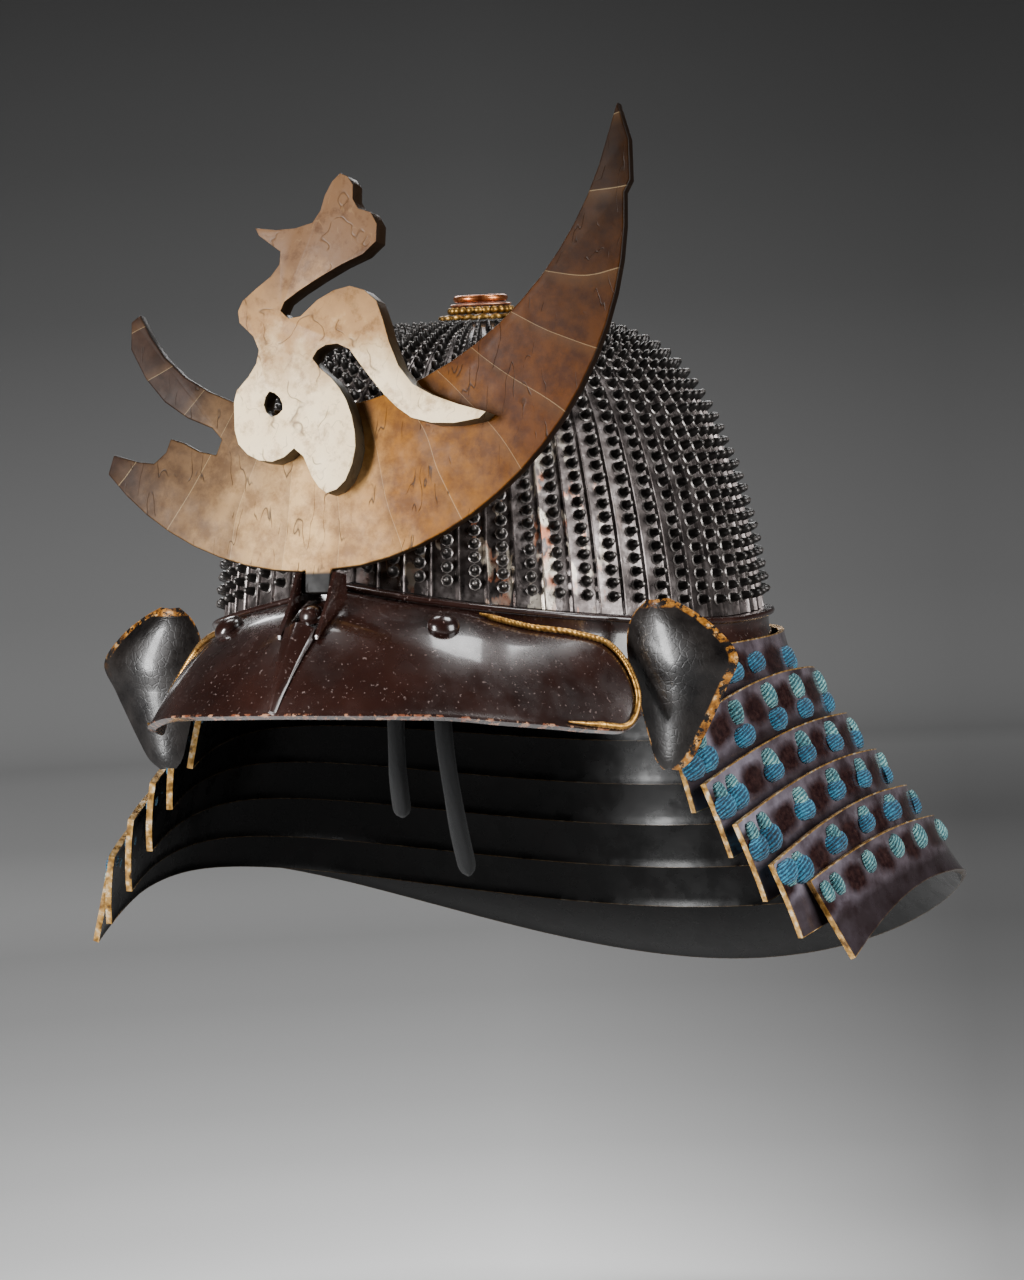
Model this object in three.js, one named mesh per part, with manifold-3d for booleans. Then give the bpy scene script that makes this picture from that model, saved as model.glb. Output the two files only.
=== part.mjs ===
// A riveted iron samurai helmet (kabuto) with a carved crescent crest.
// Millimetres. The bowl's rim lies in the plane z = 0, the brow looks along -Y, +X is the wearer's left.
// The origin is the middle of the bowl's mouth, where the helmet sits on the head.
import * as THREE from "three";
import { mergeVertices } from "three/addons/utils/BufferGeometryUtils.js";
import Module from "manifold-3d";

const wasm = await Module();
wasm.setup();

// ---- driving dimensions ----
const GAP = 0.35; // air left between neighbouring pieces
const PLATES = 62; // vertical plates in the bowl
const BOWL = { halfWidth: 101.8, lengthening: 0.133, wall: 2.4, topHole: 10 };
const RIB = { height: 1.3, topHeight: 0.2, share: 0.22 }; // share of a plate that the rib slopes over
// Height above the rim and half width of the bowl's plates, from the rim to the crown.
const BOWL_PROFILE = [
  { height: 0, halfWidth: 101.8 },
  { height: 20, halfWidth: 99.6 },
  { height: 40, halfWidth: 96 },
  { height: 61, halfWidth: 90 },
  { height: 83, halfWidth: 81 },
  { height: 101, halfWidth: 67 },
  { height: 111.5, halfWidth: 47 },
  { height: 117, halfWidth: BOWL.topHole },
];
const BROW_RISE = 22; // the rim arches up over the brow
const BROW_POWER = 1.5;
const BAND = { lip: 5.4, lipThick: 2.4, wallOut: 3, seatOut: 3.8, seatTop: -7.6, inner: 0.5, bottom: -13 };
const LAME_WALL = 1.8;
const SIDE_POWER = 1.95; // how square the lames' plan is round the back
const FRONT_POWER = 1.95;
const SIDE_SHARE = 0.58; // share of a lame's run that goes round the back
const LAME_COLUMNS = 30;
const CREST_LEAN = THREE.MathUtils.degToRad(12);
const CREST_FOOT = new THREE.Vector3(0, -137.6, 27.8);
const CREST_THICK = 4;
const FIGURE = { back: GAP, front: 7.6 };
const TANG = { width: 11, length: 8.2 };

// ---- materials ----
const material = (color, roughness, metalness) =>
  new THREE.MeshStandardMaterial({ color, roughness, metalness });
const blackIron = material("#2b2422", 0.42, 0.6);
const brownLacquer = material("#2c1a16", 0.3, 0.1);
const lameLacquer = material("#33201f", 0.32, 0.05);
const blackLeather = material("#1b1817", 0.38, 0);
const giltEdge = material("#a87c34", 0.4, 0.8);
const copper = material("#b5643a", 0.35, 0.9);
const giltCopper = material("#9a7840", 0.4, 0.8);
const crescentGilt = material("#8b7048", 0.5, 0.2);
const figureGilt = material("#bfae95", 0.5, 0.1);
const blueSilk = material("#20617a", 0.85, 0);
const navyCloth = material("#10161d", 0.9, 0);

const helmet = new THREE.Group();
function add(name, geometry, finish) {
  const mesh = new THREE.Mesh(geometry, finish);
  mesh.name = name;
  helmet.add(mesh);
  return mesh;
}

// ---- closed bodies from grids of points ----
// Triangles of points become one body, turned so that its faces point out.
function bodyOf(triangles) {
  let volume = 0;
  for (const [a, b, c] of triangles) volume += a.dot(new THREE.Vector3().crossVectors(b, c));
  const positions = [];
  for (const [a, b, c] of triangles) {
    for (const point of volume > 0 ? [a, b, c] : [a, c, b]) positions.push(point.x, point.y, point.z);
  }
  const geometry = new THREE.BufferGeometry();
  geometry.setAttribute("position", new THREE.Float32BufferAttribute(positions, 3));
  return mergeVertices(geometry, 1e-4);
}

function quad(list, a, b, c, d) {
  list.push([a, b, c], [a, c, d]);
}

// The faces of one grid of rows; wrapped closes each row on itself.
function skin(list, grid, wrapped, turned) {
  for (let r = 0; r + 1 < grid.length; r++) {
    const columns = grid[r].length;
    for (let c = 0; c < (wrapped ? columns : columns - 1); c++) {
      const n = (c + 1) % columns;
      const corners = [grid[r][c], grid[r][n], grid[r + 1][n], grid[r + 1][c]];
      quad(list, ...(turned ? corners.reverse() : corners));
    }
  }
}

// Joins the edge of an outer row to the edge of an inner row, which may have fewer points.
function rim(list, outer, inner, wrapped, turned) {
  const steps = wrapped ? inner.length : inner.length - 1;
  const share = Math.round((wrapped ? outer.length : outer.length - 1) / steps);
  const place = (a, b, c) => list.push(turned ? [a, c, b] : [a, b, c]);
  for (let k = 0; k < steps; k++) {
    const here = inner[k];
    const next = inner[(k + 1) % inner.length];
    const half = Math.floor(share / 2);
    for (let j = 0; j < share; j++) {
      const a = outer[k * share + j];
      const b = outer[(k * share + j + 1) % outer.length];
      place(b, a, j < half || share === 1 ? here : next);
      if (j + 1 === Math.max(half, 1)) place(b, here, next);
    }
  }
}

function wallBetween(outer, inner, wrapped) {
  const list = [];
  skin(list, outer, wrapped, false);
  skin(list, inner, wrapped, true);
  rim(list, outer[0], inner[0], wrapped, false);
  rim(list, outer.at(-1), inner.at(-1), wrapped, true);
  if (!wrapped) {
    const column = (grid, c) => grid.map((row) => row.at(c));
    rim(list, column(outer, 0), column(inner, 0), false, true);
    rim(list, column(outer, -1), column(inner, -1), false, false);
  }
  return bodyOf(list);
}

// A thin sheet: the grid is its middle surface, thickened both ways.
function sheetBody(grid, thickness) {
  const shifted = (side) =>
    grid.map((row, r) =>
      row.map((point, c) => {
        const along = row[Math.min(c + 1, row.length - 1)].clone().sub(row[Math.max(c - 1, 0)]);
        const across = grid[Math.min(r + 1, grid.length - 1)][c].clone().sub(grid[Math.max(r - 1, 0)][c]);
        return point.clone().addScaledVector(along.cross(across).normalize(), (side * thickness) / 2);
      }),
    );
  return wallBetween(shifted(1), shifted(-1), false);
}

// Smooth value through a short table, at t from 0 to 1.
function along(values, t) {
  const curve = new THREE.CatmullRomCurve3(values.map((v) => new THREE.Vector3(...v)), false, "centripetal");
  return curve.getPoint(THREE.MathUtils.clamp(t, 0, 1));
}

// ---- bowl ----
// Angles run round the helmet from the brow (-Y), so 90 degrees is the wearer's left.
const browTurn = (angle) => Math.abs(Math.atan2(Math.sin(angle), Math.cos(angle))) / (Math.PI / 2);
const rimHeight = (angle) => BROW_RISE * Math.max(0, 1 - browTurn(angle)) ** BROW_POWER;

function bowlHalfWidth(height) {
  let k = 1;
  while (k < BOWL_PROFILE.length - 1 && BOWL_PROFILE[k].height < height) k++;
  const low = BOWL_PROFILE[k - 1];
  const high = BOWL_PROFILE[k];
  const t = (height - low.height) / (high.height - low.height);
  return THREE.MathUtils.lerp(low.halfWidth, high.halfWidth, t);
}

function ellipsePoint(angle, halfWidth, height, out) {
  const longer = 1 + (BOWL.lengthening * halfWidth) / BOWL.halfWidth;
  const x = Math.sin(angle) * halfWidth;
  const y = -Math.cos(angle) * halfWidth * longer;
  const outward = new THREE.Vector2(Math.sin(angle) * longer, -Math.cos(angle)).normalize();
  return new THREE.Vector3(x + outward.x * out, y + outward.y * out, height);
}

function bowlGrid(columns, outOf) {
  const crown = BOWL_PROFILE.at(-1).height;
  return BOWL_PROFILE.map(({ height: level }, row) =>
    Array.from({ length: columns.length }, (_, c) => {
      const angle = columns[c];
      const foot = rimHeight(angle) + GAP;
      const height = foot + (level / crown) * (crown - foot);
      return ellipsePoint(angle, bowlHalfWidth(height), height, outOf(c, row));
    }),
  );
}

// Each plate's edge stands up as a low rib beside the next plate's flat.
const plateStep = (2 * Math.PI) / PLATES;
const ribColumns = Array.from(
  { length: PLATES * 2 },
  (_, c) => (Math.floor(c / 2) + (c % 2 ? RIB.share : 0)) * plateStep,
);
const plateColumns = Array.from({ length: PLATES }, (_, c) => c * plateStep);
const lastRow = BOWL_PROFILE.length - 1;
add(
  "bowl",
  wallBetween(
    bowlGrid(ribColumns, (c, row) => (c % 2 ? 0 : row === lastRow ? RIB.topHeight : RIB.height)),
    bowlGrid(plateColumns, () => -BOWL.wall),
    true,
  ),
  blackIron,
);

// ---- band round the bowl's rim, with its outward lip ----
const BAND_COLUMNS = 44;
const bandSections = Array.from({ length: BAND_COLUMNS }, (_, c) => {
  const angle = (c / BAND_COLUMNS) * 2 * Math.PI;
  const lip = rimHeight(angle);
  const place = (out, height) => ellipsePoint(angle, BOWL.halfWidth, height, out);
  return [
    place(-BOWL.wall, lip),
    place(BAND.lip, lip),
    place(BAND.lip, lip - BAND.lipThick),
    place(BAND.wallOut, lip - BAND.lipThick),
    place(BAND.wallOut, BAND.seatTop),
    place(BAND.seatOut, BAND.seatTop - 1),
    place(BAND.seatOut, BAND.bottom),
    place(BAND.inner, BAND.bottom),
    place(BAND.inner, lip - BAND.lipThick),
    place(-BOWL.wall, lip - BAND.lipThick / 2),
  ];
});
function ringBody(sections) {
  const list = [];
  const loops = [...sections, sections[0]];
  skin(list, loops, true, false);
  return bodyOf(list);
}
add("brow_band", ringBody(bandSections), brownLacquer);

// ---- neck guard: six lames, each hung outside the one above ----
// Each edge: its widest point at the side (x, y, z), its back (y, z) and its front corner (x, y, z).
// The swell is how far the sheet bows out between its edges; the last one flares out behind.
const LAMES = [
  {
    top: { side: [107.4, 0, -9.5], back: [121.2, -9.5], corner: [90.2, -66, -10.5], power: 2.15 },
    foot: { side: [115.2, 9, -44], back: [126, -60], corner: [103, -66.5, -52] },
    swell: { side: 0.8, back: 0.8 },
  },
  {
    top: { side: [119.2, 12, -22], back: [129, -41], corner: [106.7, -70, -39.5] },
    foot: { side: [129.6, 18, -59.5], back: [132, -79], corner: [113.4, -66.2, -68.3] },
    swell: { side: 0.8, back: 0.8 },
  },
  {
    top: { side: [129.4, 21, -41], back: [135.5, -58], corner: [118.8, -68.9, -57.4] },
    foot: { side: [139.6, 21, -75], back: [139.5, -97], corner: [126, -62.4, -85.3] },
    swell: { side: 0.8, back: 0.8 },
  },
  {
    top: { side: [141, 21, -55], back: [143, -77], corner: [130.5, -67.8, -72.2] },
    foot: { side: [151.4, 20, -91], back: [148.5, -116], corner: [138, -59.9, -101.7] },
    swell: { side: 0.8, back: 0.8 },
  },
  {
    top: { side: [153, 20, -69], back: [152, -95], corner: [142.6, -64.3, -87.4] },
    foot: { side: [162.4, 22, -104], back: [158, -134], corner: [150.2, -56.8, -115.4] },
    swell: { side: 0.8, back: 0.8 },
  },
  {
    top: { side: [162.2, 24, -81], back: [161, -112], corner: [152, -52, -95] },
    foot: { side: [168, 34, -103], back: [198, -161], corner: [165.3, -44, -124.5] },
    swell: { side: 0, back: -7 },
  },
];
const SWELL_CENTRE_Y = 20;

// A point on an edge; s runs from -1 at the right front corner, round the back, to +1 at the left one.
function edgePoint(edge, s) {
  const [sideX, sideY, sideZ] = edge.side;
  const [backY, backZ] = edge.back;
  const [cornerX, cornerY, cornerZ] = edge.corner;
  const power = edge.power ?? SIDE_POWER;
  const side = Math.sign(s) || 1;
  const run = Math.abs(s);
  if (run <= SIDE_SHARE) {
    const turn = (run / SIDE_SHARE) * (Math.PI / 2);
    const x = sideX * Math.sin(turn) ** (2 / power);
    const y = sideY + (backY - sideY) * Math.cos(turn) ** (2 / power);
    return new THREE.Vector3(side * x, y, backZ + (sideZ - backZ) * Math.sin(turn) ** 2);
  }
  const forward = (run - SIDE_SHARE) / (1 - SIDE_SHARE);
  const x = sideX + (cornerX - sideX) * forward ** FRONT_POWER;
  const y = sideY + (cornerY - sideY) * forward;
  return new THREE.Vector3(side * x, y, sideZ + (cornerZ - sideZ) * forward ** 2);
}

// A point on a lame's middle surface: t runs from its top edge to its foot.
function lamePoint(lame, s, t) {
  const { top, foot, swell } = LAMES[lame - 1];
  const point = edgePoint(top, s).lerp(edgePoint(foot, s), t);
  const outward = new THREE.Vector3(point.x, point.y - SWELL_CENTRE_Y, 0).normalize();
  const bow = THREE.MathUtils.lerp(swell.back, swell.side, Math.min(Math.abs(s) / SIDE_SHARE, 1));
  return point.addScaledVector(outward, bow * 4 * t * (1 - t));
}

for (let lame = 1; lame <= LAMES.length; lame++) {
  const rows = lame === LAMES.length ? 3 : 2;
  const grid = Array.from({ length: rows + 1 }, (_, r) =>
    Array.from({ length: LAME_COLUMNS + 1 }, (_, c) => lamePoint(lame, (2 * c) / LAME_COLUMNS - 1, r / rows)),
  );
  add(`neck_lame_${lame}`, sheetBody(grid, LAME_WALL), lameLacquer);
}

// ---- silk lacing: a strip behind each lame's top edge, with a knot standing above it at every cord ----
const LACING = {
  knots: 17,
  reach: 0.94, // how far round the lame the last knot sits
  width: 10,
  head: 0.7, // a knot's upper width as a share of its lower one
  rise: 8,
  shelf: 1.2,
  drop: 6,
  thick: 1,
  stand: 2.3,
  share: 0.45, // where the strip lies between the two lames
};
// The point of a lame's middle surface at a given height.
function onLame(lame, s, height) {
  const { top, foot } = LAMES[lame - 1];
  const topZ = edgePoint(top, s).z;
  return lamePoint(lame, s, (height - topZ) / (edgePoint(foot, s).z - topZ));
}
// The level direction that leads away from a lame's outer face.
function lameOutward(lame, s, height) {
  const step = 0.01;
  const ahead = onLame(lame, Math.min(s + step, 1), height).sub(onLame(lame, Math.max(s - step, -1), height));
  return new THREE.Vector3(-ahead.y, ahead.x, 0).normalize();
}
function lacingColumns(edge) {
  const line = Array.from({ length: 41 }, (_, k) => edgePoint(edge, k / 20 - 1));
  const girth = line.slice(1).reduce((sum, point, k) => sum + point.distanceTo(line[k]), 0);
  const half = LACING.width / girth;
  const pitch = (2 * LACING.reach) / (LACING.knots - 1);
  const columns = [];
  for (let k = 0; k < LACING.knots; k++) {
    const s = pitch * k - LACING.reach;
    if (k > 0) columns.push({ s: s - pitch / 2, knot: false });
    columns.push({ s: s - half, knot: false });
    columns.push({ s: s - half * LACING.head, knot: true });
    columns.push({ s: s + half * LACING.head, knot: true });
    columns.push({ s: s + half, knot: false });
  }
  return columns;
}
for (let lame = 2; lame <= LAMES.length; lame++) {
  const { top } = LAMES[lame - 1];
  const columns = lacingColumns(top);
  const knotRow = columns.map(({ s, knot }) => {
    if (!knot) {
      const height = edgePoint(top, s).z - LACING.shelf;
      return onLame(lame - 1, s, height).lerp(onLame(lame, s, height), LACING.share);
    }
    const height = edgePoint(top, s).z + LACING.rise;
    return onLame(lame - 1, s, height).addScaledVector(lameOutward(lame - 1, s, height), LACING.stand);
  });
  const hiddenRow = columns.map(({ s }) => {
    const height = edgePoint(top, s).z - LACING.drop;
    return onLame(lame - 1, s, height).lerp(onLame(lame, s, height), LACING.share);
  });
  add(`lacing_${lame}`, sheetBody([knotRow, hiddenRow], LACING.thick), blueSilk);
}

// ---- peak ----
// A point on the band's face: degrees from the brow, how far below the lip, how far off the face.
function onBand(degrees, drop, stand) {
  const angle = THREE.MathUtils.degToRad(degrees);
  return ellipsePoint(angle, BOWL.halfWidth, rimHeight(angle) - drop, BAND.wallOut + stand).toArray();
}
// Rows from the middle to the wing's end: the top edge, the foot, and how far the sheet swells between.
const PEAK_STATIONS = [
  { top: onBand(0, 4.2, 0.9), foot: [0, -175, -22.5], swell: 8.5 },
  { top: onBand(9, 4.2, 0.9), foot: [24, -171, -23], swell: 8 },
  { top: onBand(18, 4.2, 0.9), foot: [45, -162, -24], swell: 7 },
  { top: onBand(26, 4.4, 1.2), foot: [60, -150.5, -25.6], swell: 6 },
  { top: onBand(33, 7, 2), foot: [73, -137.5, -28.4], swell: 4.5 },
  { top: onBand(41, 8.4, 2.8), foot: [85, -121.5, -31.4], swell: 3.5 },
  { top: onBand(49, 9.2, 4.4), foot: [94, -105, -34.4], swell: 2.5 },
  { top: [90, -77, -8.5], foot: [100, -91.5, -35.5], swell: 1.5 },
  { top: [98, -77.5, -19], foot: [102, -84.5, -31], swell: 0.3 },
];
const PEAK_WALL = 2.2;
const PEAK_BULGE = { sideways: 0.35, forward: -60, upward: 72 }; // the way the peak's sheet swells out
const PEAK_COLUMNS = 24;
const PEAK_ROWS = 6;
const mirrored = (rows, key) => [
  ...rows.slice(1).reverse().map((row) => [-row[key][0], row[key][1], row[key][2]]),
  ...rows.map((row) => row[key]),
];
const peakTop = mirrored(PEAK_STATIONS, "top");
const peakFoot = mirrored(PEAK_STATIONS, "foot");
const peakSwell = [...PEAK_STATIONS.slice(1).reverse(), ...PEAK_STATIONS].map((row) => [row.swell, 0, 0]);

// s from -1 to 1 across the brow, t from the band to the free edge.
function peakPoint(s, t) {
  const at = (s + 1) / 2;
  const top = along(peakTop, at);
  const foot = along(peakFoot, at);
  const swell = along(peakSwell, at).x;
  const point = top.clone().lerp(foot, t);
  const { sideways, forward, upward } = PEAK_BULGE;
  const out = new THREE.Vector3(point.x * sideways, forward, upward).normalize();
  return point.addScaledVector(out, swell * Math.sin(Math.PI * t ** 0.8) ** 0.9);
}
function peakNormal(s, t) {
  const d = 0.01;
  const side = peakPoint(Math.min(s + d, 1), t).sub(peakPoint(Math.max(s - d, -1), t));
  const down = peakPoint(s, Math.min(t + d, 1)).sub(peakPoint(s, Math.max(t - d, 0)));
  return down.cross(side).normalize();
}
const peakGrid = Array.from({ length: PEAK_ROWS + 1 }, (_, r) =>
  Array.from({ length: PEAK_COLUMNS + 1 }, (_, c) => peakPoint((2 * c) / PEAK_COLUMNS - 1, r / PEAK_ROWS)),
);
add("peak", sheetBody(peakGrid, PEAK_WALL), brownLacquer);

// ---- turned bodies: rivets and the crown fitting ----
function latheBody(profile, segments) {
  const geometry = new THREE.LatheGeometry(profile.map(([r, z]) => new THREE.Vector2(r, z)), segments);
  geometry.rotateX(Math.PI / 2);
  geometry.deleteAttribute("normal");
  geometry.deleteAttribute("uv");
  return mergeVertices(geometry, 1e-4);
}
const domeProfile = (radius, height) => {
  const steps = 4;
  const rows = [[0, 0]];
  for (let k = 0; k <= steps; k++) {
    const a = (k / steps) * (Math.PI / 2);
    rows.push([k === steps ? 0 : radius * Math.cos(a), 0.6 + height * Math.sin(a)]);
  }
  rows.splice(1, 0, [radius, 0]);
  return rows;
};
function seat(mesh, point, normal) {
  mesh.quaternion.setFromUnitVectors(new THREE.Vector3(0, 0, 1), normal);
  mesh.position.copy(point);
}
const PEAK_RIVET = { radius: 6, height: 4, s: 0.315, t: 0.27 };
for (const [name, side] of [["peak_rivet_left", 1], ["peak_rivet_right", -1]]) {
  const rivet = add(name, latheBody(domeProfile(PEAK_RIVET.radius, PEAK_RIVET.height), 10), brownLacquer);
  const normal = peakNormal(side * PEAK_RIVET.s, PEAK_RIVET.t);
  const out = PEAK_WALL / 2 + 0.9;
  seat(rivet, peakPoint(side * PEAK_RIVET.s, PEAK_RIVET.t).addScaledVector(normal, out), normal);
}

// ---- crest frame: u across, v up the leaning plane, w out of its front face ----
const crestUp = new THREE.Vector3(0, Math.sin(CREST_LEAN), Math.cos(CREST_LEAN));
const crestOut = new THREE.Vector3(0, -Math.cos(CREST_LEAN), Math.sin(CREST_LEAN));
const crestFrame = new THREE.Matrix4()
  .makeBasis(new THREE.Vector3(1, 0, 0), crestUp, crestOut)
  .setPosition(CREST_FOOT);

// ---- crest holder: cheeks and a back plate that take the crest's tang, and a ridge to the edge ----
const HOLDER = { inside: 7, wall: 1.5, plate: 1.4, backY: -131.9, topZ: 26.1 };
// Side view of a cheek, y and z; what lies below the peak's face is cut away.
const CHEEK = [
  [HOLDER.backY, HOLDER.topZ],
  [-139.3, 27.5],
  [-146.4, 15.8],
  [-154.5, 5.6],
  [-154.5, -5],
  [HOLDER.backY, 5],
];
const BACK_PLATE = [
  [HOLDER.backY, HOLDER.topZ],
  [HOLDER.backY - HOLDER.plate, HOLDER.topZ],
  [HOLDER.backY - HOLDER.plate, 5],
  [HOLDER.backY, 5],
];
const RIDGE = {
  start: 0.47,
  end: 0.985,
  halfWidth: 7.6,
  endHalfWidth: 2,
  height: 5,
  endHeight: 1.6,
  steps: 5,
};
function mergeBare(geometry) {
  geometry.deleteAttribute("normal");
  geometry.deleteAttribute("uv");
  return mergeVertices(geometry, 1e-4);
}
function solidOf(geometry) {
  const bare = geometry.index && !geometry.attributes.normal ? geometry : mergeBare(geometry);
  return new wasm.Manifold(
    new wasm.Mesh({
      numProp: 3,
      vertProperties: new Float32Array(bare.attributes.position.array),
      triVerts: new Uint32Array(bare.index.array),
    }),
  );
}
function geometryOf(solid) {
  const { vertProperties, triVerts } = solid.getMesh();
  const geometry = new THREE.BufferGeometry();
  geometry.setAttribute("position", new THREE.Float32BufferAttribute(vertProperties, 3));
  geometry.setIndex(new THREE.Uint32BufferAttribute(triVerts, 1));
  return geometry;
}
// A side view (y, z) run along X.
function sideSlab(points, fromX, toX) {
  const shape = new THREE.Shape(points.map(([y, z]) => new THREE.Vector2(y, z)));
  const geometry = new THREE.ExtrudeGeometry(shape, { depth: toX - fromX, bevelEnabled: false });
  const basis = [new THREE.Vector3(0, 1, 0), new THREE.Vector3(0, 0, 1), new THREE.Vector3(1, 0, 0)];
  geometry.applyMatrix4(new THREE.Matrix4().makeBasis(...basis).setPosition(fromX, 0, 0));
  return solidOf(geometry);
}
// The ridge's roof-shaped cross-section, as shares of its half width and height.
const RIDGE_SECTION = [[-1, 0], [1, 0], [0.8, 0.55], [0.1, 1], [-0.1, 1], [-0.8, 0.55]];
function ridge() {
  const sections = Array.from({ length: RIDGE.steps + 1 }, (_, k) => {
    const f = k / RIDGE.steps;
    const t = THREE.MathUtils.lerp(RIDGE.start, RIDGE.end, f);
    const up = peakNormal(0, t);
    const base = peakPoint(0, t);
    const width = THREE.MathUtils.lerp(RIDGE.halfWidth, RIDGE.endHalfWidth, f);
    const tall = PEAK_WALL / 2 + GAP + THREE.MathUtils.lerp(RIDGE.height, RIDGE.endHeight, f ** 0.6);
    return RIDGE_SECTION.map(([x, h]) =>
      base.clone().add(new THREE.Vector3(x * width, 0, 0)).addScaledVector(up, h * tall),
    );
  });
  const list = [];
  skin(list, sections, true, false);
  for (const [end, turned] of [[sections[0], true], [sections.at(-1), false]]) {
    for (let k = 1; k + 1 < end.length; k++) {
      list.push(turned ? [end[0], end[k + 1], end[k]] : [end[0], end[k], end[k + 1]]);
    }
  }
  return solidOf(bodyOf(list));
}
const faceLine = Array.from({ length: 9 }, (_, k) => {
  const t = k / 8;
  const point = peakPoint(0, t).addScaledVector(peakNormal(0, t), PEAK_WALL / 2 + GAP);
  return [point.y, point.z];
});
const under = sideSlab([...faceLine, [faceLine.at(-1)[0] - 3, -60], [-100, -60], [-100, 15]], -14, 14);
const cheekOut = HOLDER.inside + HOLDER.wall;
const holderSolid = sideSlab(CHEEK, HOLDER.inside, cheekOut)
  .add(sideSlab(CHEEK, -cheekOut, -HOLDER.inside))
  .add(sideSlab(BACK_PLATE, -cheekOut, cheekOut))
  .add(ridge())
  .subtract(under);
add("crest_holder", geometryOf(holderSolid), brownLacquer);

const HOLDER_RIVET = { radius: 4.6, height: 3.4, t: 0.33 };
const holderDome = domeProfile(HOLDER_RIVET.radius, HOLDER_RIVET.height);
const holderRivet = add("holder_rivet", latheBody(holderDome, 10), brownLacquer);
const rivetUp = peakNormal(0, HOLDER_RIVET.t);
seat(holderRivet, peakPoint(0, HOLDER_RIVET.t).addScaledVector(rivetUp, PEAK_WALL / 2 + 0.6), rivetUp);

// ---- crest: a crescent board, and a carved cloud figure on its front ----
const MOON = { outer: { u: -4.3, v: 121.8, r: 122 }, inner: { u: -9.9, v: 182, r: 122 } };
const HORN_TIP = [112.5, 168];
function arcPoints(circle, from, to, count) {
  return Array.from({ length: count }, (_, k) => {
    const a = THREE.MathUtils.degToRad(from + ((to - from) * k) / (count - 1));
    return [circle.u + circle.r * Math.cos(a), circle.v + circle.r * Math.sin(a)];
  });
}
function crescentOutline() {
  const outer = [...arcPoints(MOON.outer, 223, 366, 26), [119.2, 139], [117.8, 154]];
  // The broken left horn: a low prong, a round notch and a high prong.
  const prongs = [
    [-38, 63.4], [-51, 68.5], [-62, 74.5], [-71.5, 82.5], [-78.5, 91], [-83.5, 99.2], [-87.4, 96.5],
    [-86.8, 86], [-79.5, 74.5], [-70.5, 65.3], [-60, 58.8], [-49, 54.6], [-44.6, 50.2], [-46.6, 44.6],
    [-54, 46.2], [-61, 49.6], [-66.8, 51.4], [-68.6, 46.2], [-73.5, 42.2], [-80.5, 43], [-91.5, 46],
  ];
  const inner = arcPoints(MOON.inner, 353, 262, 18);
  const tang = [[-TANG.width / 2, 0.4], [-TANG.width / 2, -TANG.length], [TANG.width / 2, -TANG.length],
    [TANG.width / 2, 0.6]];
  const left = outer.filter(([u]) => u < -TANG.width / 2 - 1);
  const right = outer.filter(([u]) => u > TANG.width / 2 + 1);
  return [...left, ...tang, ...right, HORN_TIP, ...inner.slice(1), ...prongs];
}
function board(points, holes, back, front) {
  const shape = new THREE.Shape(points.map(([u, v]) => new THREE.Vector2(u, v)));
  for (const hole of holes) shape.holes.push(new THREE.Path(hole.map(([u, v]) => new THREE.Vector2(u, v))));
  const geometry = new THREE.ExtrudeGeometry(shape, { depth: front - back, bevelEnabled: false });
  geometry.translate(0, 0, back);
  return mergeBare(geometry.applyMatrix4(crestFrame));
}
add("crest_crescent", board(crescentOutline(), [], -CREST_THICK, 0), crescentGilt);

// A closed smooth curve through hand-set points, taken at even steps.
function smoothLoop(points, count) {
  const knots = points.map(([u, v]) => new THREE.Vector3(u, v, 0));
  const curve = new THREE.CatmullRomCurve3(knots, true, "centripetal");
  return curve.getPoints(count).slice(0, -1).map(({ x, y }) => [x, y]);
}
const FIGURE_OUTLINE = [
  [-35, 58], [-35, 66], [-27.5, 75], [-26.5, 84], [-36, 94], [-34, 101], [-23, 109], [-18.5, 117],
  [-32, 127.5], [-18, 126.5], [-5, 129.5], [-1.5, 139], [4, 146.5], [9.5, 143], [11, 134],
  [19.5, 130], [20.5, 119], [6.5, 112], [-10, 103.5], [-18, 97], [-12, 92.5], [0, 101], [12, 104],
  [22.5, 98], [28, 84], [37, 68.5], [52, 60.5], [71, 54.5], [56, 51.5], [40, 54], [29, 62],
  [19, 72.5], [10, 82], [1, 82], [-3, 77.5], [5, 70.5], [11.5, 63], [16, 52], [17, 42], [13, 31],
  [6, 27.5], [0, 33], [-7.5, 44.5], [-15, 40], [-25, 41], [-33, 47.5],
];
const FIGURE_EYE = [
  [-19, 56.5], [-14.5, 59], [-16, 63.5], [-20.5, 66], [-22.5, 61],
];
const FIGURE_STEPS = 84;
const figureEdge = smoothLoop(FIGURE_OUTLINE, FIGURE_STEPS);
const figureEye = smoothLoop(FIGURE_EYE, 10);
add("crest_figure", board(figureEdge, [figureEye], FIGURE.back, FIGURE.front), figureGilt);

// ---- crown fitting: four stacked rings round the top hole ----
const CROWN_Z = BOWL_PROFILE.at(-1).height + GAP + 0.5;
const CROWN_RINGS = [
  { name: "crown_base", inner: 8.6, outer: 17, low: 0, high: 1.8, finish: giltCopper },
  { name: "crown_beads", inner: 8.6, outer: 13.5, low: 2.1, high: 4.9, finish: giltCopper },
  { name: "crown_rim", inner: 8.2, outer: 12, low: 5.2, high: 6.4, finish: copper },
  { name: "crown_tube", inner: 7.4, outer: 10.5, low: 6.7, high: 9.4, finish: copper },
];
for (const ring of CROWN_RINGS) {
  const bevel = Math.min(0.6, (ring.high - ring.low) / 3);
  const profile = [
    [ring.inner, ring.low],
    [ring.outer - bevel, ring.low],
    [ring.outer, ring.low + bevel],
    [ring.outer, ring.high - bevel],
    [ring.outer - bevel, ring.high],
    [ring.inner, ring.high],
    [ring.inner, ring.low],
  ];
  const mesh = add(ring.name, latheBody(profile, 16), ring.finish);
  mesh.position.set(0, 0, CROWN_Z);
}

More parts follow.
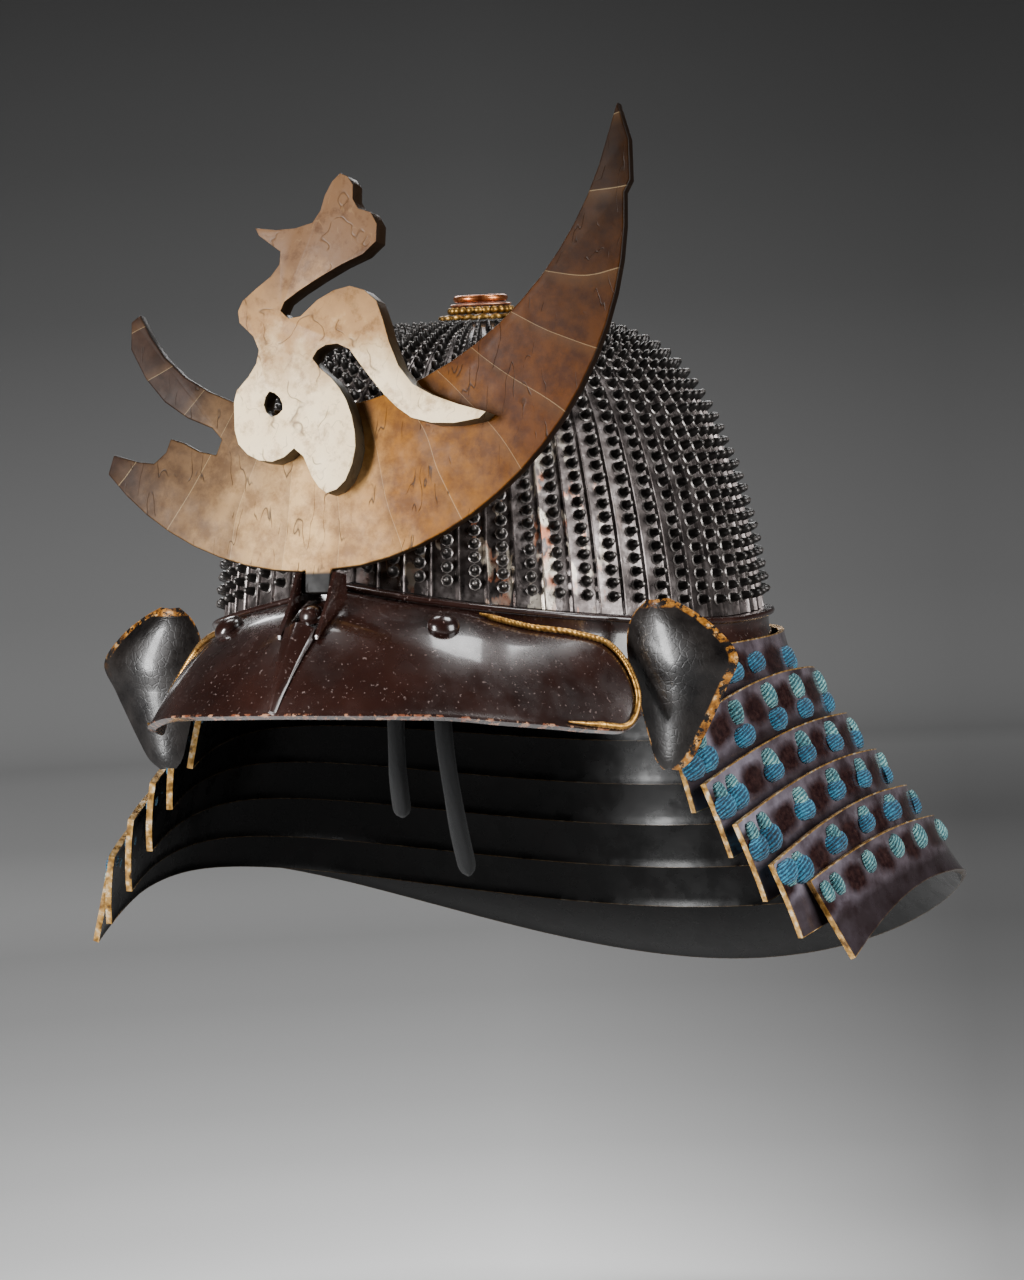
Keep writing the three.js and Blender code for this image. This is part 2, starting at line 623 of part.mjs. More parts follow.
// ---- turn-backs: leaf-shaped ears at the first lame's front ends ----
// The outline by height: the leaf's inner and outer edge across the brow.
const LEAF = [
  { z: 10.6, inner: 101.5, outer: 109 },
  { z: 6, inner: 95.8, outer: 118.5 },
  { z: -1, inner: 92.6, outer: 128.5 },
  { z: -10.5, inner: 92.4, outer: 135.9 },
  { z: -20, inner: 94.6, outer: 131.6 },
  { z: -30, inner: 97.5, outer: 126.4 },
  { z: -40, inner: 100.3, outer: 121 },
  { z: -47, inner: 102.4, outer: 116.6 },
  { z: -51, inner: 105.5, outer: 111.5 },
];
const LEAF_FACE = {
  y: -70.5,
  swell: 6.5,
  widest: 43,
  wall: 2,
  columns: 6,
  slope: 0.06,
  slopeFrom: -20,
};
function leafGrid(side) {
  return LEAF.map(({ z, inner, outer }) =>
    Array.from({ length: LEAF_FACE.columns + 1 }, (_, c) => {
      const f = c / LEAF_FACE.columns;
      const x = THREE.MathUtils.lerp(inner, outer, f);
      const swell = ((LEAF_FACE.swell * (outer - inner)) / LEAF_FACE.widest) * 4 * f * (1 - f);
      const slope = LEAF_FACE.slope * Math.max(0, LEAF_FACE.slopeFrom - z);
      return new THREE.Vector3(side * x, LEAF_FACE.y - swell - slope, z);
    }),
  );
}
for (const [name, side] of [["turn_back_left", 1], ["turn_back_right", -1]]) {
  add(name, sheetBody(leafGrid(side), LEAF_FACE.wall), blackLeather);
}

// ---- gilt rope edging along the peak's wings ----
function ropeBody(points, radius, sides, steps) {
  const circle = new THREE.Shape(
    Array.from({ length: sides }, (_, k) => {
      const a = (k / sides) * 2 * Math.PI;
      return new THREE.Vector2(radius * Math.cos(a), radius * Math.sin(a));
    }),
  );
  const path = new THREE.CatmullRomCurve3(points, false, "centripetal");
  return mergeBare(new THREE.ExtrudeGeometry(circle, { steps, extrudePath: path, bevelEnabled: false }));
}
const EDGING = { radius: 1.1, sides: 6, steps: 18 };
// Where it runs on the peak: s across the brow, t down the sheet.
const EDGING_RUN = [
  [0.4, 0.06],
  [0.47, 0.045],
  [0.56, 0.045],
  [0.68, 0.045],
  [0.8, 0.05],
  [0.9, 0.1],
  [0.965, 0.3],
  [0.975, 0.6],
  [0.94, 0.86],
  [0.86, 0.95],
];
for (const [name, side] of [["peak_edging_left", 1], ["peak_edging_right", -1]]) {
  const stand = PEAK_WALL / 2 + EDGING.radius + GAP;
  const points = EDGING_RUN.map(([s, t]) =>
    peakPoint(side * s, t).addScaledVector(peakNormal(side * s, t), stand),
  );
  add(name, ropeBody(points, EDGING.radius, EDGING.sides, EDGING.steps), giltEdge);
}

// ---- two cloth tie ends hanging inside the brow ----
const CORD_RADIUS = 3.6;
const CORDS = {
  tie_cord_short: [
    [13, -108.5, -15],
    [13, -108.3, -30],
    [12.6, -108, -48],
    [14, -107.6, -66],
  ],
  tie_cord_long: [
    [31, -105, -15],
    [31, -104.8, -34],
    [32.5, -104.4, -52],
    [35, -104, -70],
    [38.5, -103.5, -88],
  ],
};
for (const [name, points] of Object.entries(CORDS)) {
  const path = points.map((point) => new THREE.Vector3(...point));
  add(name, ropeBody(path, CORD_RADIUS, 8, 10), navyCloth);
}

export default helmet;
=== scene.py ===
"""A riveted samurai helmet (kabuto): its plates, rivets, silk knots, rope edging and finishes.

Metres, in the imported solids' own frame: the brow looks along -Y, +X is the wearer's left and the
bowl's rim lies at height 0. Lengths below are written in millimetres and multiplied by MM.
"""

import math

import bmesh
import bpy
import numpy as np
from mathutils import Matrix, Vector


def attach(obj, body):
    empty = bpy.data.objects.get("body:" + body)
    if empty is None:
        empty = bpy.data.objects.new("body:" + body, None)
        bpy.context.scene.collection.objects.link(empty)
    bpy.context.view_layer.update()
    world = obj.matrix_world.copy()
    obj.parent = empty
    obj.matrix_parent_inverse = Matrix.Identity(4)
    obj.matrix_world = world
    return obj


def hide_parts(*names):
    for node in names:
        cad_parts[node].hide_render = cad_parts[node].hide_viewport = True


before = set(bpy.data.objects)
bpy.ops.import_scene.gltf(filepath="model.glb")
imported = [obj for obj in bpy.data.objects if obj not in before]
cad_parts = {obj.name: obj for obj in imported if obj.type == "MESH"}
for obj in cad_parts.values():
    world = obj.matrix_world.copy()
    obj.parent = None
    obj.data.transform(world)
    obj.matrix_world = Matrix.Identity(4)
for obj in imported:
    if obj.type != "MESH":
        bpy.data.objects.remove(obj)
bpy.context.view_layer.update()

MM = 0.001
GAP = 0.35

# ---- camera: level with the brow, from the wearer's left front ----
VIEW_TURN = math.radians(27.65)
VIEW_RISE = math.radians(1.34)
VIEW_ROLL = math.radians(-2.65)
VIEW_TARGET = Vector((0, 0, 0.060))
VIEW_DISTANCE = 1.740
LENS = 124.73
AIM_RIGHT = 0.00534
AIM_DOWN = 0.03899


def make_camera():
    back = Vector((math.sin(VIEW_TURN) * math.cos(VIEW_RISE), -math.cos(VIEW_TURN) * math.cos(VIEW_RISE),
                   math.sin(VIEW_RISE)))
    level_right = Vector((math.cos(VIEW_TURN), math.sin(VIEW_TURN), 0))
    level_up = back.cross(level_right)
    right = math.cos(VIEW_ROLL) * level_right + math.sin(VIEW_ROLL) * level_up
    up = -math.sin(VIEW_ROLL) * level_right + math.cos(VIEW_ROLL) * level_up
    place = VIEW_TARGET + back * VIEW_DISTANCE
    ahead = (-back + AIM_RIGHT * right - AIM_DOWN * up).normalized()
    side = ahead.cross(up).normalized()
    data = bpy.data.cameras.new("studio_camera")
    data.lens = LENS
    data.clip_start = 0.05
    data.clip_end = 20
    camera = bpy.data.objects.new("studio_camera", data)
    camera.matrix_world = Matrix((side, side.cross(ahead), -ahead)).transposed().to_4x4()
    camera.matrix_world.translation = place
    bpy.context.scene.collection.objects.link(camera)
    bpy.context.scene.camera = camera


make_camera()


# ---- materials ----
def linear(hex_colour):
    """An sRGB hex colour as the linear colour that a shader takes."""
    parts = [int(hex_colour[k:k + 2], 16) / 255 for k in (1, 3, 5)]
    return tuple(c / 12.92 if c <= 0.04045 else ((c + 0.055) / 1.055) ** 2.4 for c in parts) + (1.0,)


def add_node(tree, kind, inputs=None, **settings):
    """One node with its settings; inputs are values, or sockets to link from."""
    made = tree.nodes.new(kind)
    for key, value in settings.items():
        setattr(made, key, value)
    for key, value in (inputs or {}).items():
        if isinstance(value, bpy.types.NodeSocket):
            tree.links.new(value, made.inputs[key])
        else:
            made.inputs[key].default_value = value
    return made


def new_finish(name, metallic=0.0, ior=1.5, coat=0.0, coat_roughness=0.1):
    """An empty finish: its tree, its shader and the object's own coordinates."""
    finish = bpy.data.materials.new(name)
    finish.use_nodes = True
    tree = finish.node_tree
    tree.nodes.clear()
    settings = {"Metallic": metallic, "IOR": ior, "Coat Weight": coat, "Coat Roughness": coat_roughness}
    shader = add_node(tree, "ShaderNodeBsdfPrincipled", settings)
    add_node(tree, "ShaderNodeOutputMaterial", {"Surface": shader.outputs["BSDF"]})
    place = add_node(tree, "ShaderNodeTexCoord").outputs["Object"]
    return finish, tree, shader, place


def noise(tree, place, size_mm, detail=3.0, roughness=0.5, stretch=(1, 1, 1)):
    """Cloudy noise whose blots are about size_mm across."""
    scale = 1 / (size_mm * MM)
    mapped = add_node(tree, "ShaderNodeMapping", {"Vector": place, "Scale": stretch})
    made = add_node(tree, "ShaderNodeTexNoise", {"Vector": mapped.outputs["Vector"], "Scale": scale,
                                                 "Detail": detail, "Roughness": roughness})
    return made.outputs["Fac"]


def ramp(tree, value, stops, interpolation="LINEAR"):
    """A colour ramp; stops are (place, colour or grey)."""
    made = add_node(tree, "ShaderNodeValToRGB", {"Fac": value})
    band = made.color_ramp
    band.interpolation = interpolation
    while len(band.elements) < len(stops):
        band.elements.new(1.0)
    for element, (position, colour) in zip(band.elements, stops):
        element.position = position
        element.color = linear(colour) if isinstance(colour, str) else (colour, colour, colour, 1)
    return made.outputs["Color"]


def blend_colour(tree, share, first, second, mode="MIX"):
    made = add_node(tree, "ShaderNodeMix", data_type="RGBA", blend_type=mode)
    for socket, value in (("Factor_Float", share), ("A_Color", first), ("B_Color", second)):
        target = next(s for s in made.inputs if s.identifier == socket)
        if isinstance(value, bpy.types.NodeSocket):
            tree.links.new(value, target)
        else:
            target.default_value = linear(value) if isinstance(value, str) else value
    return next(s for s in made.outputs if s.identifier == "Result_Color")


def sums(tree, operation, first, second=0.0, third=0.0, clamp=False):
    """One arithmetic step."""
    made = add_node(tree, "ShaderNodeMath", operation=operation, use_clamp=clamp)
    for k, value in enumerate((first, second, third)):
        if isinstance(value, bpy.types.NodeSocket):
            tree.links.new(value, made.inputs[k])
        else:
            made.inputs[k].default_value = value
    return made.outputs[0]


def relief(tree, shader, height, depth_mm, strength=1.0):
    settings = {"Height": height, "Distance": depth_mm * MM, "Strength": strength}
    bump = add_node(tree, "ShaderNodeBump", settings)
    tree.links.new(bump.outputs["Normal"], shader.inputs["Normal"])


def attribute(tree, name):
    return add_node(tree, "ShaderNodeAttribute", attribute_name=name).outputs["Fac"]


# Iron bowl plates: hammered, thinly lacquered black-brown, rubbed grey where the lacquer has worn off.
def plate_iron():
    finish, tree, shader, place = new_finish("plate_iron_worn_lacquer", metallic=0.75)
    cloud = noise(tree, place, 9, 5, 0.6)
    fine = noise(tree, place, 1.6, 4, 0.6)
    tone = ramp(tree, cloud, [(0.32, "#2a2524"), (0.5, "#544d4b"), (0.68, "#8d8583")])
    # Lacquer and ground have flaked from a few plates beside the brow, down to a cream and a red layer.
    centre = add_node(tree, "ShaderNodeMapping", {"Vector": place, "Location": (-0.052, 0.098, -0.040)})
    away = add_node(tree, "ShaderNodeVectorMath", {0: centre.outputs["Vector"]}, operation="LENGTH")
    near = ramp(tree, away.outputs["Value"], [(0.018, 1.0), (0.055, 0.0)])
    flakes = ramp(tree, noise(tree, place, 7, 3, 0.6, (1, 1, 0.35)), [(0.55, 0.0), (0.58, 1.0)])
    flaked = sums(tree, "MULTIPLY", near, flakes, clamp=True)
    layer = ramp(tree, noise(tree, place, 12, 2), [(0.5, "#d8cdbb"), (0.6, "#b9775a")])
    colour = blend_colour(tree, flaked, tone, layer)
    tree.links.new(colour, shader.inputs["Base Color"])
    tree.links.new(ramp(tree, fine, [(0.3, 0.24), (0.7, 0.42)]), shader.inputs["Roughness"])
    relief(tree, shader, fine, 0.25, 0.5)
    return finish


# Forged rivets: nearly black and smooth; their tips and seats are lighter, partly metal rubbed bare and
# partly a painted highlight.
def rivet_iron():
    finish, tree, shader, place = new_finish("rivet_iron_black", metallic=0.6)
    rub_and_highlight = attribute(tree, "rub_and_highlight")
    cloud = noise(tree, place, 3, 3, 0.6)
    dark = ramp(tree, cloud, [(0.35, "#0a0908"), (0.7, "#1d1a19")])
    # Painted highlight and wear: the light tone on the seats and tips stands partly for rubbed metal, partly
    # for highlights.
    worn = ramp(tree, cloud, [(0.35, "#77706d"), (0.65, "#b9b2ad")])
    tree.links.new(blend_colour(tree, rub_and_highlight, dark, worn), shader.inputs["Base Color"])
    shader.inputs["Roughness"].default_value = 0.3
    return finish


# Urushi lacquer over iron: deep red-brown, glossy, scuffed, chipped to the pink ground at its edge.
def brown_lacquer(name, chips=True):
    finish, tree, shader, place = new_finish(name, ior=1.54, coat=0.6, coat_roughness=0.07)
    cloud = noise(tree, place, 34, 4, 0.55)
    tone = ramp(tree, cloud, [(0.35, "#1c0e0b"), (0.6, "#2b1712"), (0.75, "#3a2824")])
    specks = ramp(tree, noise(tree, place, 1.3, 2, 0.5), [(0.66, 0.0), (0.72, 0.45)])
    tone = blend_colour(tree, specks, tone, "#8d7d78")
    if chips:
        edge = attribute(tree, "edge_mm")
        rim = ramp(tree, sums(tree, "MULTIPLY", edge, 0.25), [(0.12, 1.0), (0.24, 0.0)])
        chip = ramp(tree, noise(tree, place, 4.5, 4, 0.7), [(0.53, 0.0), (0.57, 1.0)])
        bare = sums(tree, "MULTIPLY", rim, chip, clamp=True)
        ground = ramp(tree, noise(tree, place, 4, 2), [(0.45, "#7d4a34"), (0.6, "#b98a6c")])
        tone = blend_colour(tree, bare, tone, ground)
    tree.links.new(tone, shader.inputs["Base Color"])
    tree.links.new(ramp(tree, noise(tree, place, 11, 5, 0.6), [(0.35, 0.2), (0.7, 0.34)]),
                   shader.inputs["Roughness"])
    relief(tree, shader, noise(tree, place, 16, 3, 0.5), 0.35, 0.3)
    return finish


# Lacquered rawhide lames: purple-brown squares between the cords, a pale bloom round them, gilt on the edges.
def lame_lacquer():
    finish, tree, shader, place = new_finish("lame_lacquer_bloomed", ior=1.54, coat=0.4, coat_roughness=0.1)
    uv = add_node(tree, "ShaderNodeUVMap", uv_map="columns").outputs["UV"]
    split = add_node(tree, "ShaderNodeSeparateXYZ", {"Vector": uv})
    wobble = noise(tree, place, 8, 4, 0.6)
    across = sums(tree, "ADD", split.outputs["X"], sums(tree, "MULTIPLY_ADD", wobble, 0.12, -0.06))
    across = sums(tree, "ABSOLUTE", sums(tree, "SUBTRACT", sums(tree, "FRACT", across), 0.5))
    drop = sums(tree, "ADD", split.outputs["Y"], sums(tree, "MULTIPLY_ADD", wobble, 0.5, -0.25))
    down = sums(tree, "ABSOLUTE", sums(tree, "SUBTRACT", drop, 0.95))
    round_off = sums(tree, "ADD", sums(tree, "POWER", sums(tree, "MULTIPLY", across, 3.0), 3.0),
                     sums(tree, "POWER", sums(tree, "MULTIPLY", down, 1.55), 3.0))
    patch = ramp(tree, sums(tree, "MULTIPLY", round_off, 0.6), [(0.12, 1.0), (0.72, 0.0)])
    dark = ramp(tree, noise(tree, place, 2.2, 4, 0.6), [(0.4, "#1c0f10"), (0.7, "#33211f")])
    bloom = ramp(tree, noise(tree, place, 14, 4, 0.6), [(0.35, "#4b4147"), (0.65, "#8d8794")])
    # Painted shade: the bloom darkens towards each lame's foot, where the next lame's top edge lies over it.
    lower = ramp(tree, sums(tree, "MULTIPLY", drop, 0.4), [(0.55, 0.0), (0.75, 0.8)])
    bloom = blend_colour(tree, lower, bloom, "#2b2122")
    # Painted light and shade: the bloom is lighter towards the front corners and darker towards the back.
    toward_front = add_node(tree, "ShaderNodeSeparateXYZ", {"Vector": place}).outputs["Y"]
    fade = ramp(tree, sums(tree, "MULTIPLY_ADD", toward_front, 4, 0.5), [(0.2, "#ffffff"), (0.42, "#a8a09c")])
    outer = blend_colour(tree, patch, blend_colour(tree, 1.0, bloom, fade, "MULTIPLY"), dark)
    # Inside, the lacquer is black and glossy, with a few scuffed grey and brown places.
    scuffs = noise(tree, place, 26, 3, 0.6)
    inner = ramp(tree, scuffs, [(0.45, "#020202"), (0.7, "#060404"), (0.8, "#1c1918")])
    side = attribute(tree, "outside")
    tone = blend_colour(tree, side, inner, outer)
    edge = attribute(tree, "edge_mm")
    worn = ramp(tree, noise(tree, place, 6, 4, 0.7), [(0.3, 0.1), (0.4, 1.0)])
    gilt = sums(tree, "MULTIPLY", ramp(tree, edge, [(0.3, 1.0), (0.55, 0.0)]), worn, clamp=True)
    # The gilt line follows the top edge and the front corners; the lower edge is left black.
    spot = add_node(tree, "ShaderNodeSeparateXYZ", {"Vector": place})
    low = sums(tree, "MINIMUM", sums(tree, "ADD", spot.outputs["Z"], 0.075), 0)
    forward = sums(tree, "SUBTRACT", sums(tree, "MULTIPLY", low, -0.38), spot.outputs["Y"])
    at_front = ramp(tree, forward, [(0.056, 0.0), (0.061, 1.0)])
    at_top = ramp(tree, sums(tree, "MULTIPLY", split.outputs["Y"], 0.4), [(0.3, 1.0), (0.5, 0.08)])
    gilt = sums(tree, "MULTIPLY", gilt, sums(tree, "MAXIMUM", at_front, at_top))
    leaf = ramp(tree, noise(tree, place, 3, 3), [(0.35, "#86602a"), (0.55, "#cfa25e"), (0.7, "#f0dfc0")])
    tree.links.new(blend_colour(tree, gilt, tone, leaf), shader.inputs["Base Color"])
    tree.links.new(sums(tree, "MULTIPLY", gilt, 0.7), shader.inputs["Metallic"])
    tree.links.new(sums(tree, "MULTIPLY", side, 0.6), shader.inputs["Coat Weight"])
    shader.inputs["Specular IOR Level"].default_value = 0.12
    tree.links.new(ramp(tree, noise(tree, place, 12, 4, 0.6), [(0.35, 0.2), (0.7, 0.38)]),
                   shader.inputs["Roughness"])
    relief(tree, shader, noise(tree, place, 9, 4, 0.5), 0.3, 0.35)
    return finish


# Lacquered leather ears: black, glossy, finely crackled, with an orange gilt rim worn through to black.
def ear_leather():
    finish, tree, shader, place = new_finish("ear_leather_black_lacquer", ior=1.54, coat=0.25,
                                             coat_roughness=0.12)
    tone = ramp(tree, noise(tree, place, 18, 4, 0.6), [(0.35, "#0b0909"), (0.65, "#1e1a18")])
    edge = attribute(tree, "edge_mm")
    worn = ramp(tree, noise(tree, place, 4, 4, 0.75), [(0.46, 0.0), (0.52, 1.0)])
    border = ramp(tree, sums(tree, "MULTIPLY", edge, 0.2), [(0.5, 1.0), (0.62, 0.0)])
    rim = sums(tree, "MULTIPLY", border, worn, clamp=True)
    # The wearer's right ear has kept its rim at the top only.
    spot = add_node(tree, "ShaderNodeSeparateXYZ", {"Vector": place})
    raised = sums(tree, "ADD", spot.outputs["Z"], 0.5)
    tilted = sums(tree, "MULTIPLY_ADD", spot.outputs["X"], 0.35, raised)
    kept = ramp(tree, tilted, [(0.44, 0.0), (0.462, 1.0)])
    rim = sums(tree, "MULTIPLY", rim, kept)
    leaf = ramp(tree, noise(tree, place, 3, 3), [(0.35, "#5a3610"), (0.55, "#9a6626"), (0.7, "#cda876")])
    tree.links.new(blend_colour(tree, rim, tone, leaf), shader.inputs["Base Color"])
    crackle = add_node(tree, "ShaderNodeTexVoronoi", {"Vector": place, "Scale": 1 / (2.6 * MM)},
                       feature="DISTANCE_TO_EDGE").outputs["Distance"]
    lines = ramp(tree, crackle, [(0.0, 0.0), (0.12, 1.0)])
    tree.links.new(ramp(tree, noise(tree, place, 9, 5, 0.65), [(0.35, 0.26), (0.7, 0.44)]),
                   shader.inputs["Roughness"])
    relief(tree, shader, sums(tree, "ADD", lines, noise(tree, place, 5, 3)), 0.1, 0.3)
    shader.inputs["Specular IOR Level"].default_value = 0.3
    return finish


def board_side_shade(tree):
    """1 on the sides of the crest's boards and their eased edges, 0 on their faces; the crest's finishes
    paint shade there.
    """
    normal = add_node(tree, "ShaderNodeNewGeometry").outputs["True Normal"]
    square_on = add_node(tree, "ShaderNodeVectorMath", {0: normal, 1: (0, -0.978, 0.208)},
                         operation="DOT_PRODUCT").outputs["Value"]
    return ramp(tree, sums(tree, "ABSOLUTE", square_on), [(0.6, 1.0), (0.97, 0.0)])


# Gold leaf over gesso and wood: brown-gold with age, cracked across, with painted shade on its sides and
# eased edges.
def hair_cracks(tree, place, size_mm, width, stretch=(1, 1, 1)):
    """1 on thin wandering lines, which come and go."""
    field = noise(tree, place, size_mm, 2, 0.4, stretch)
    line = sums(tree, "ABSOLUTE", sums(tree, "SUBTRACT", field, 0.5))
    thin = ramp(tree, line, [(0.0, 1.0), (width, 0.0)])
    kept = ramp(tree, noise(tree, place, size_mm * 0.7, 2, 0.5), [(0.5, 0.0), (0.56, 1.0)])
    return sums(tree, "MULTIPLY", thin, kept, clamp=True)


def crescent_leaf():
    finish, tree, shader, place = new_finish("crescent_old_gold_leaf")
    split = add_node(tree, "ShaderNodeSeparateXYZ", {"Vector": place})
    # The colour runs round the crescent by angle: brown on the wearer's right prong, a light band low in the
    # middle that is a painted sheen, and dark amber up the wearer's left horn.
    round_moon = sums(tree, "ARCTAN2", sums(tree, "ADD", split.outputs["X"], 0.0043),
                      sums(tree, "SUBTRACT", 0.147, split.outputs["Z"]))
    cloud = noise(tree, place, 30, 5, 0.6)
    reach = sums(tree, "ADD", sums(tree, "MULTIPLY", round_moon, 0.318), sums(tree, "MULTIPLY", cloud, 0.16))
    tone = ramp(tree, sums(tree, "ADD", reach, 0.22),
                [(0.03, "#33231a"), (0.16, "#735636"), (0.29, "#d9ae76"), (0.42, "#8f5a10"), (0.6, "#552c00"),
                 (0.85, "#241100")])
    stain = ramp(tree, noise(tree, place, 9, 6, 0.7), [(0.38, "#97846a"), (0.6, "#ffffff")])
    tone = blend_colour(tree, 0.7, tone, stain, "MULTIPLY")
    wander = sums(tree, "MULTIPLY", noise(tree, place, 60, 1), 0.9)
    sector = sums(tree, "FRACT", sums(tree, "ADD", sums(tree, "MULTIPLY", round_moon, 4.5), wander))
    join = ramp(tree, sector, [(0.0, 1.0), (0.014, 0.0)])
    tone = blend_colour(tree, sums(tree, "MULTIPLY", join, 0.35), tone, "#cdb48a")
    shade = ramp(tree, sector, [(0.8, 0.0), (1.0, 0.3)])
    tone = blend_colour(tree, shade, tone, "#5a4128")
    lines = hair_cracks(tree, place, 15, 0.012, (2.2, 1, 0.6))
    tone = blend_colour(tree, sums(tree, "MULTIPLY", lines, 0.85), tone, "#1d120a")
    # Painted shade: the board's sides and eased edges are darkened nearly to black.
    side = board_side_shade(tree)
    tone = blend_colour(tree, sums(tree, "MULTIPLY", side, 0.95), tone, "#120a05")
    tang = ramp(tree, sums(tree, "MULTIPLY", split.outputs["Z"], 10), [(0.268, 1.0), (0.279, 0.0)])
    tone = blend_colour(tree, tang, tone, "#0f0c0a")
    shader.inputs["Specular IOR Level"].default_value = 0.12
    tree.links.new(tone, shader.inputs["Base Color"])
    dull = ramp(tree, noise(tree, place, 7, 4, 0.6), [(0.3, 0.36), (0.7, 0.55)])
    tree.links.new(dull, shader.inputs["Roughness"])
    relief(tree, shader, sums(tree, "SUBTRACT", noise(tree, place, 6, 4), lines), 0.25, 0.3)
    return finish


# Pale gesso with thin leaf: cream, darkening to brown at the top, with fine dark cracks and painted shade on
# its sides.
def figure_gesso():
    finish, tree, shader, place = new_finish("figure_pale_gesso")
    height = add_node(tree, "ShaderNodeSeparateXYZ", {"Vector": place}).outputs["Z"]
    cloud = noise(tree, place, 22, 5, 0.6)
    level = sums(tree, "MULTIPLY_ADD", height, 7.5, sums(tree, "MULTIPLY_ADD", cloud, 0.5, -0.65))
    tone = ramp(tree, level, [(0.05, "#fce2b4"), (0.27, "#fce2b4"), (0.44, "#a98256"), (0.66, "#6e5138")])
    stain = ramp(tree, noise(tree, place, 7, 6, 0.7), [(0.34, "#9a7f5c"), (0.5, "#ffffff")])
    tone = blend_colour(tree, 0.6, tone, stain, "MULTIPLY")
    lines = hair_cracks(tree, place, 16, 0.012)
    fine = hair_cracks(tree, place, 9, 0.016, (1.5, 1, 1))
    tone = blend_colour(tree, sums(tree, "MULTIPLY", lines, 0.7), tone, "#4a331f")
    tone = blend_colour(tree, sums(tree, "MULTIPLY", fine, 0.45), tone, "#8a6c4a")
    # Painted shade: the board's sides and eased edges are darkened nearly to black.
    side = board_side_shade(tree)
    tone = blend_colour(tree, sums(tree, "MULTIPLY", side, 0.95), tone, "#150d07")
    shader.inputs["Specular IOR Level"].default_value = 0.15
    tree.links.new(tone, shader.inputs["Base Color"])
    dull = ramp(tree, noise(tree, place, 6, 4, 0.6), [(0.3, 0.3), (0.7, 0.5)])
    tree.links.new(dull, shader.inputs["Roughness"])
    relief(tree, shader, sums(tree, "SUBTRACT", noise(tree, place, 5, 4), lines), 0.25, 0.35)
    return finish


def metal(name, dark, bright, roughness, size_mm=4.0, metallic=0.9):
    """A worn metal whose colour wanders between two tones."""
    finish, tree, shader, place = new_finish(name, metallic=metallic)
    cloud = noise(tree, place, size_mm, 4, 0.65)
    tree.links.new(ramp(tree, cloud, [(0.35, dark), (0.62, bright)]), shader.inputs["Base Color"])
    dull = ramp(tree, cloud, [(0.3, roughness + 0.1), (0.7, roughness - 0.05)])
    tree.links.new(dull, shader.inputs["Roughness"])
    relief(tree, shader, cloud, 0.12, 0.5)
    return finish


# Silk braid knots: fine diagonal strands, drawn about 1 mm wide in the colour so that they show, as painted
# shade between them and painted highlight on them, with a soft sheen.
def silk(name, dark, middle, light):
    finish, tree, shader, place = new_finish(name, ior=1.45)
    uv = add_node(tree, "ShaderNodeUVMap", uv_map="weave").outputs["UV"]
    twist = {"Vector": uv, "Scale": 1.1, "Distortion": 4.0, "Detail": 3.0, "Detail Scale": 2.0}
    strands = add_node(tree, "ShaderNodeTexWave", twist, bands_direction="DIAGONAL").outputs["Fac"]
    fuzz = noise(tree, place, 0.9, 4, 0.7)
    cloud = noise(tree, place, 9, 3, 0.6)
    mixed = sums(tree, "ADD", sums(tree, "MULTIPLY", strands, 0.26), sums(tree, "MULTIPLY", fuzz, 0.7))
    mixed = sums(tree, "ADD", mixed, sums(tree, "MULTIPLY_ADD", cloud, 0.5, -0.2))
    # Painted shade and highlight: the strand pattern darkens the gaps and lightens the strands; fuzz and
    # cloud are the dye's own unevenness.
    dye_and_strand_light = ramp(tree, mixed, [(0.3, dark), (0.52, middle), (0.78, light)])
    tree.links.new(dye_and_strand_light, shader.inputs["Base Color"])
    shader.inputs["Roughness"].default_value = 0.78
    shader.inputs["Sheen Weight"].default_value = 0.15
    shader.inputs["Sheen Roughness"].default_value = 0.4
    relief(tree, shader, sums(tree, "ADD", strands, fuzz), 0.5, 0.8)
    return finish


# Navy cotton ties: coarse woven cloth folded lengthwise, matt; the navy is darkened nearly to black as
# painted shade from the peak above.
def navy_cotton_painted_shade():
    finish, tree, shader, place = new_finish("tie_cotton_navy_painted_shade", ior=1.45)
    uv = add_node(tree, "ShaderNodeUVMap", uv_map="weave").outputs["UV"]
    threads = {"Vector": uv, "Scale": 3.0, "Mortar Size": 0.12, "Brick Width": 0.5, "Row Height": 0.25}
    weave = add_node(tree, "ShaderNodeTexBrick", threads).outputs["Fac"]
    fuzz = noise(tree, place, 1.4, 4, 0.7)
    mixed = sums(tree, "ADD", sums(tree, "MULTIPLY", fuzz, 0.7), sums(tree, "MULTIPLY", weave, -0.2))
    # Painted shade: the navy is taken nearly to black for the peak's shadow over the ties.
    tone = ramp(tree, mixed, [(0.2, "#020304"), (0.55, "#0b0f13")])
    tree.links.new(tone, shader.inputs["Base Color"])
    shader.inputs["Roughness"].default_value = 0.9
    shader.inputs["Sheen Weight"].default_value = 0.05
    relief(tree, shader, sums(tree, "SUBTRACT", fuzz, weave), 0.5, 0.9)
    return finish


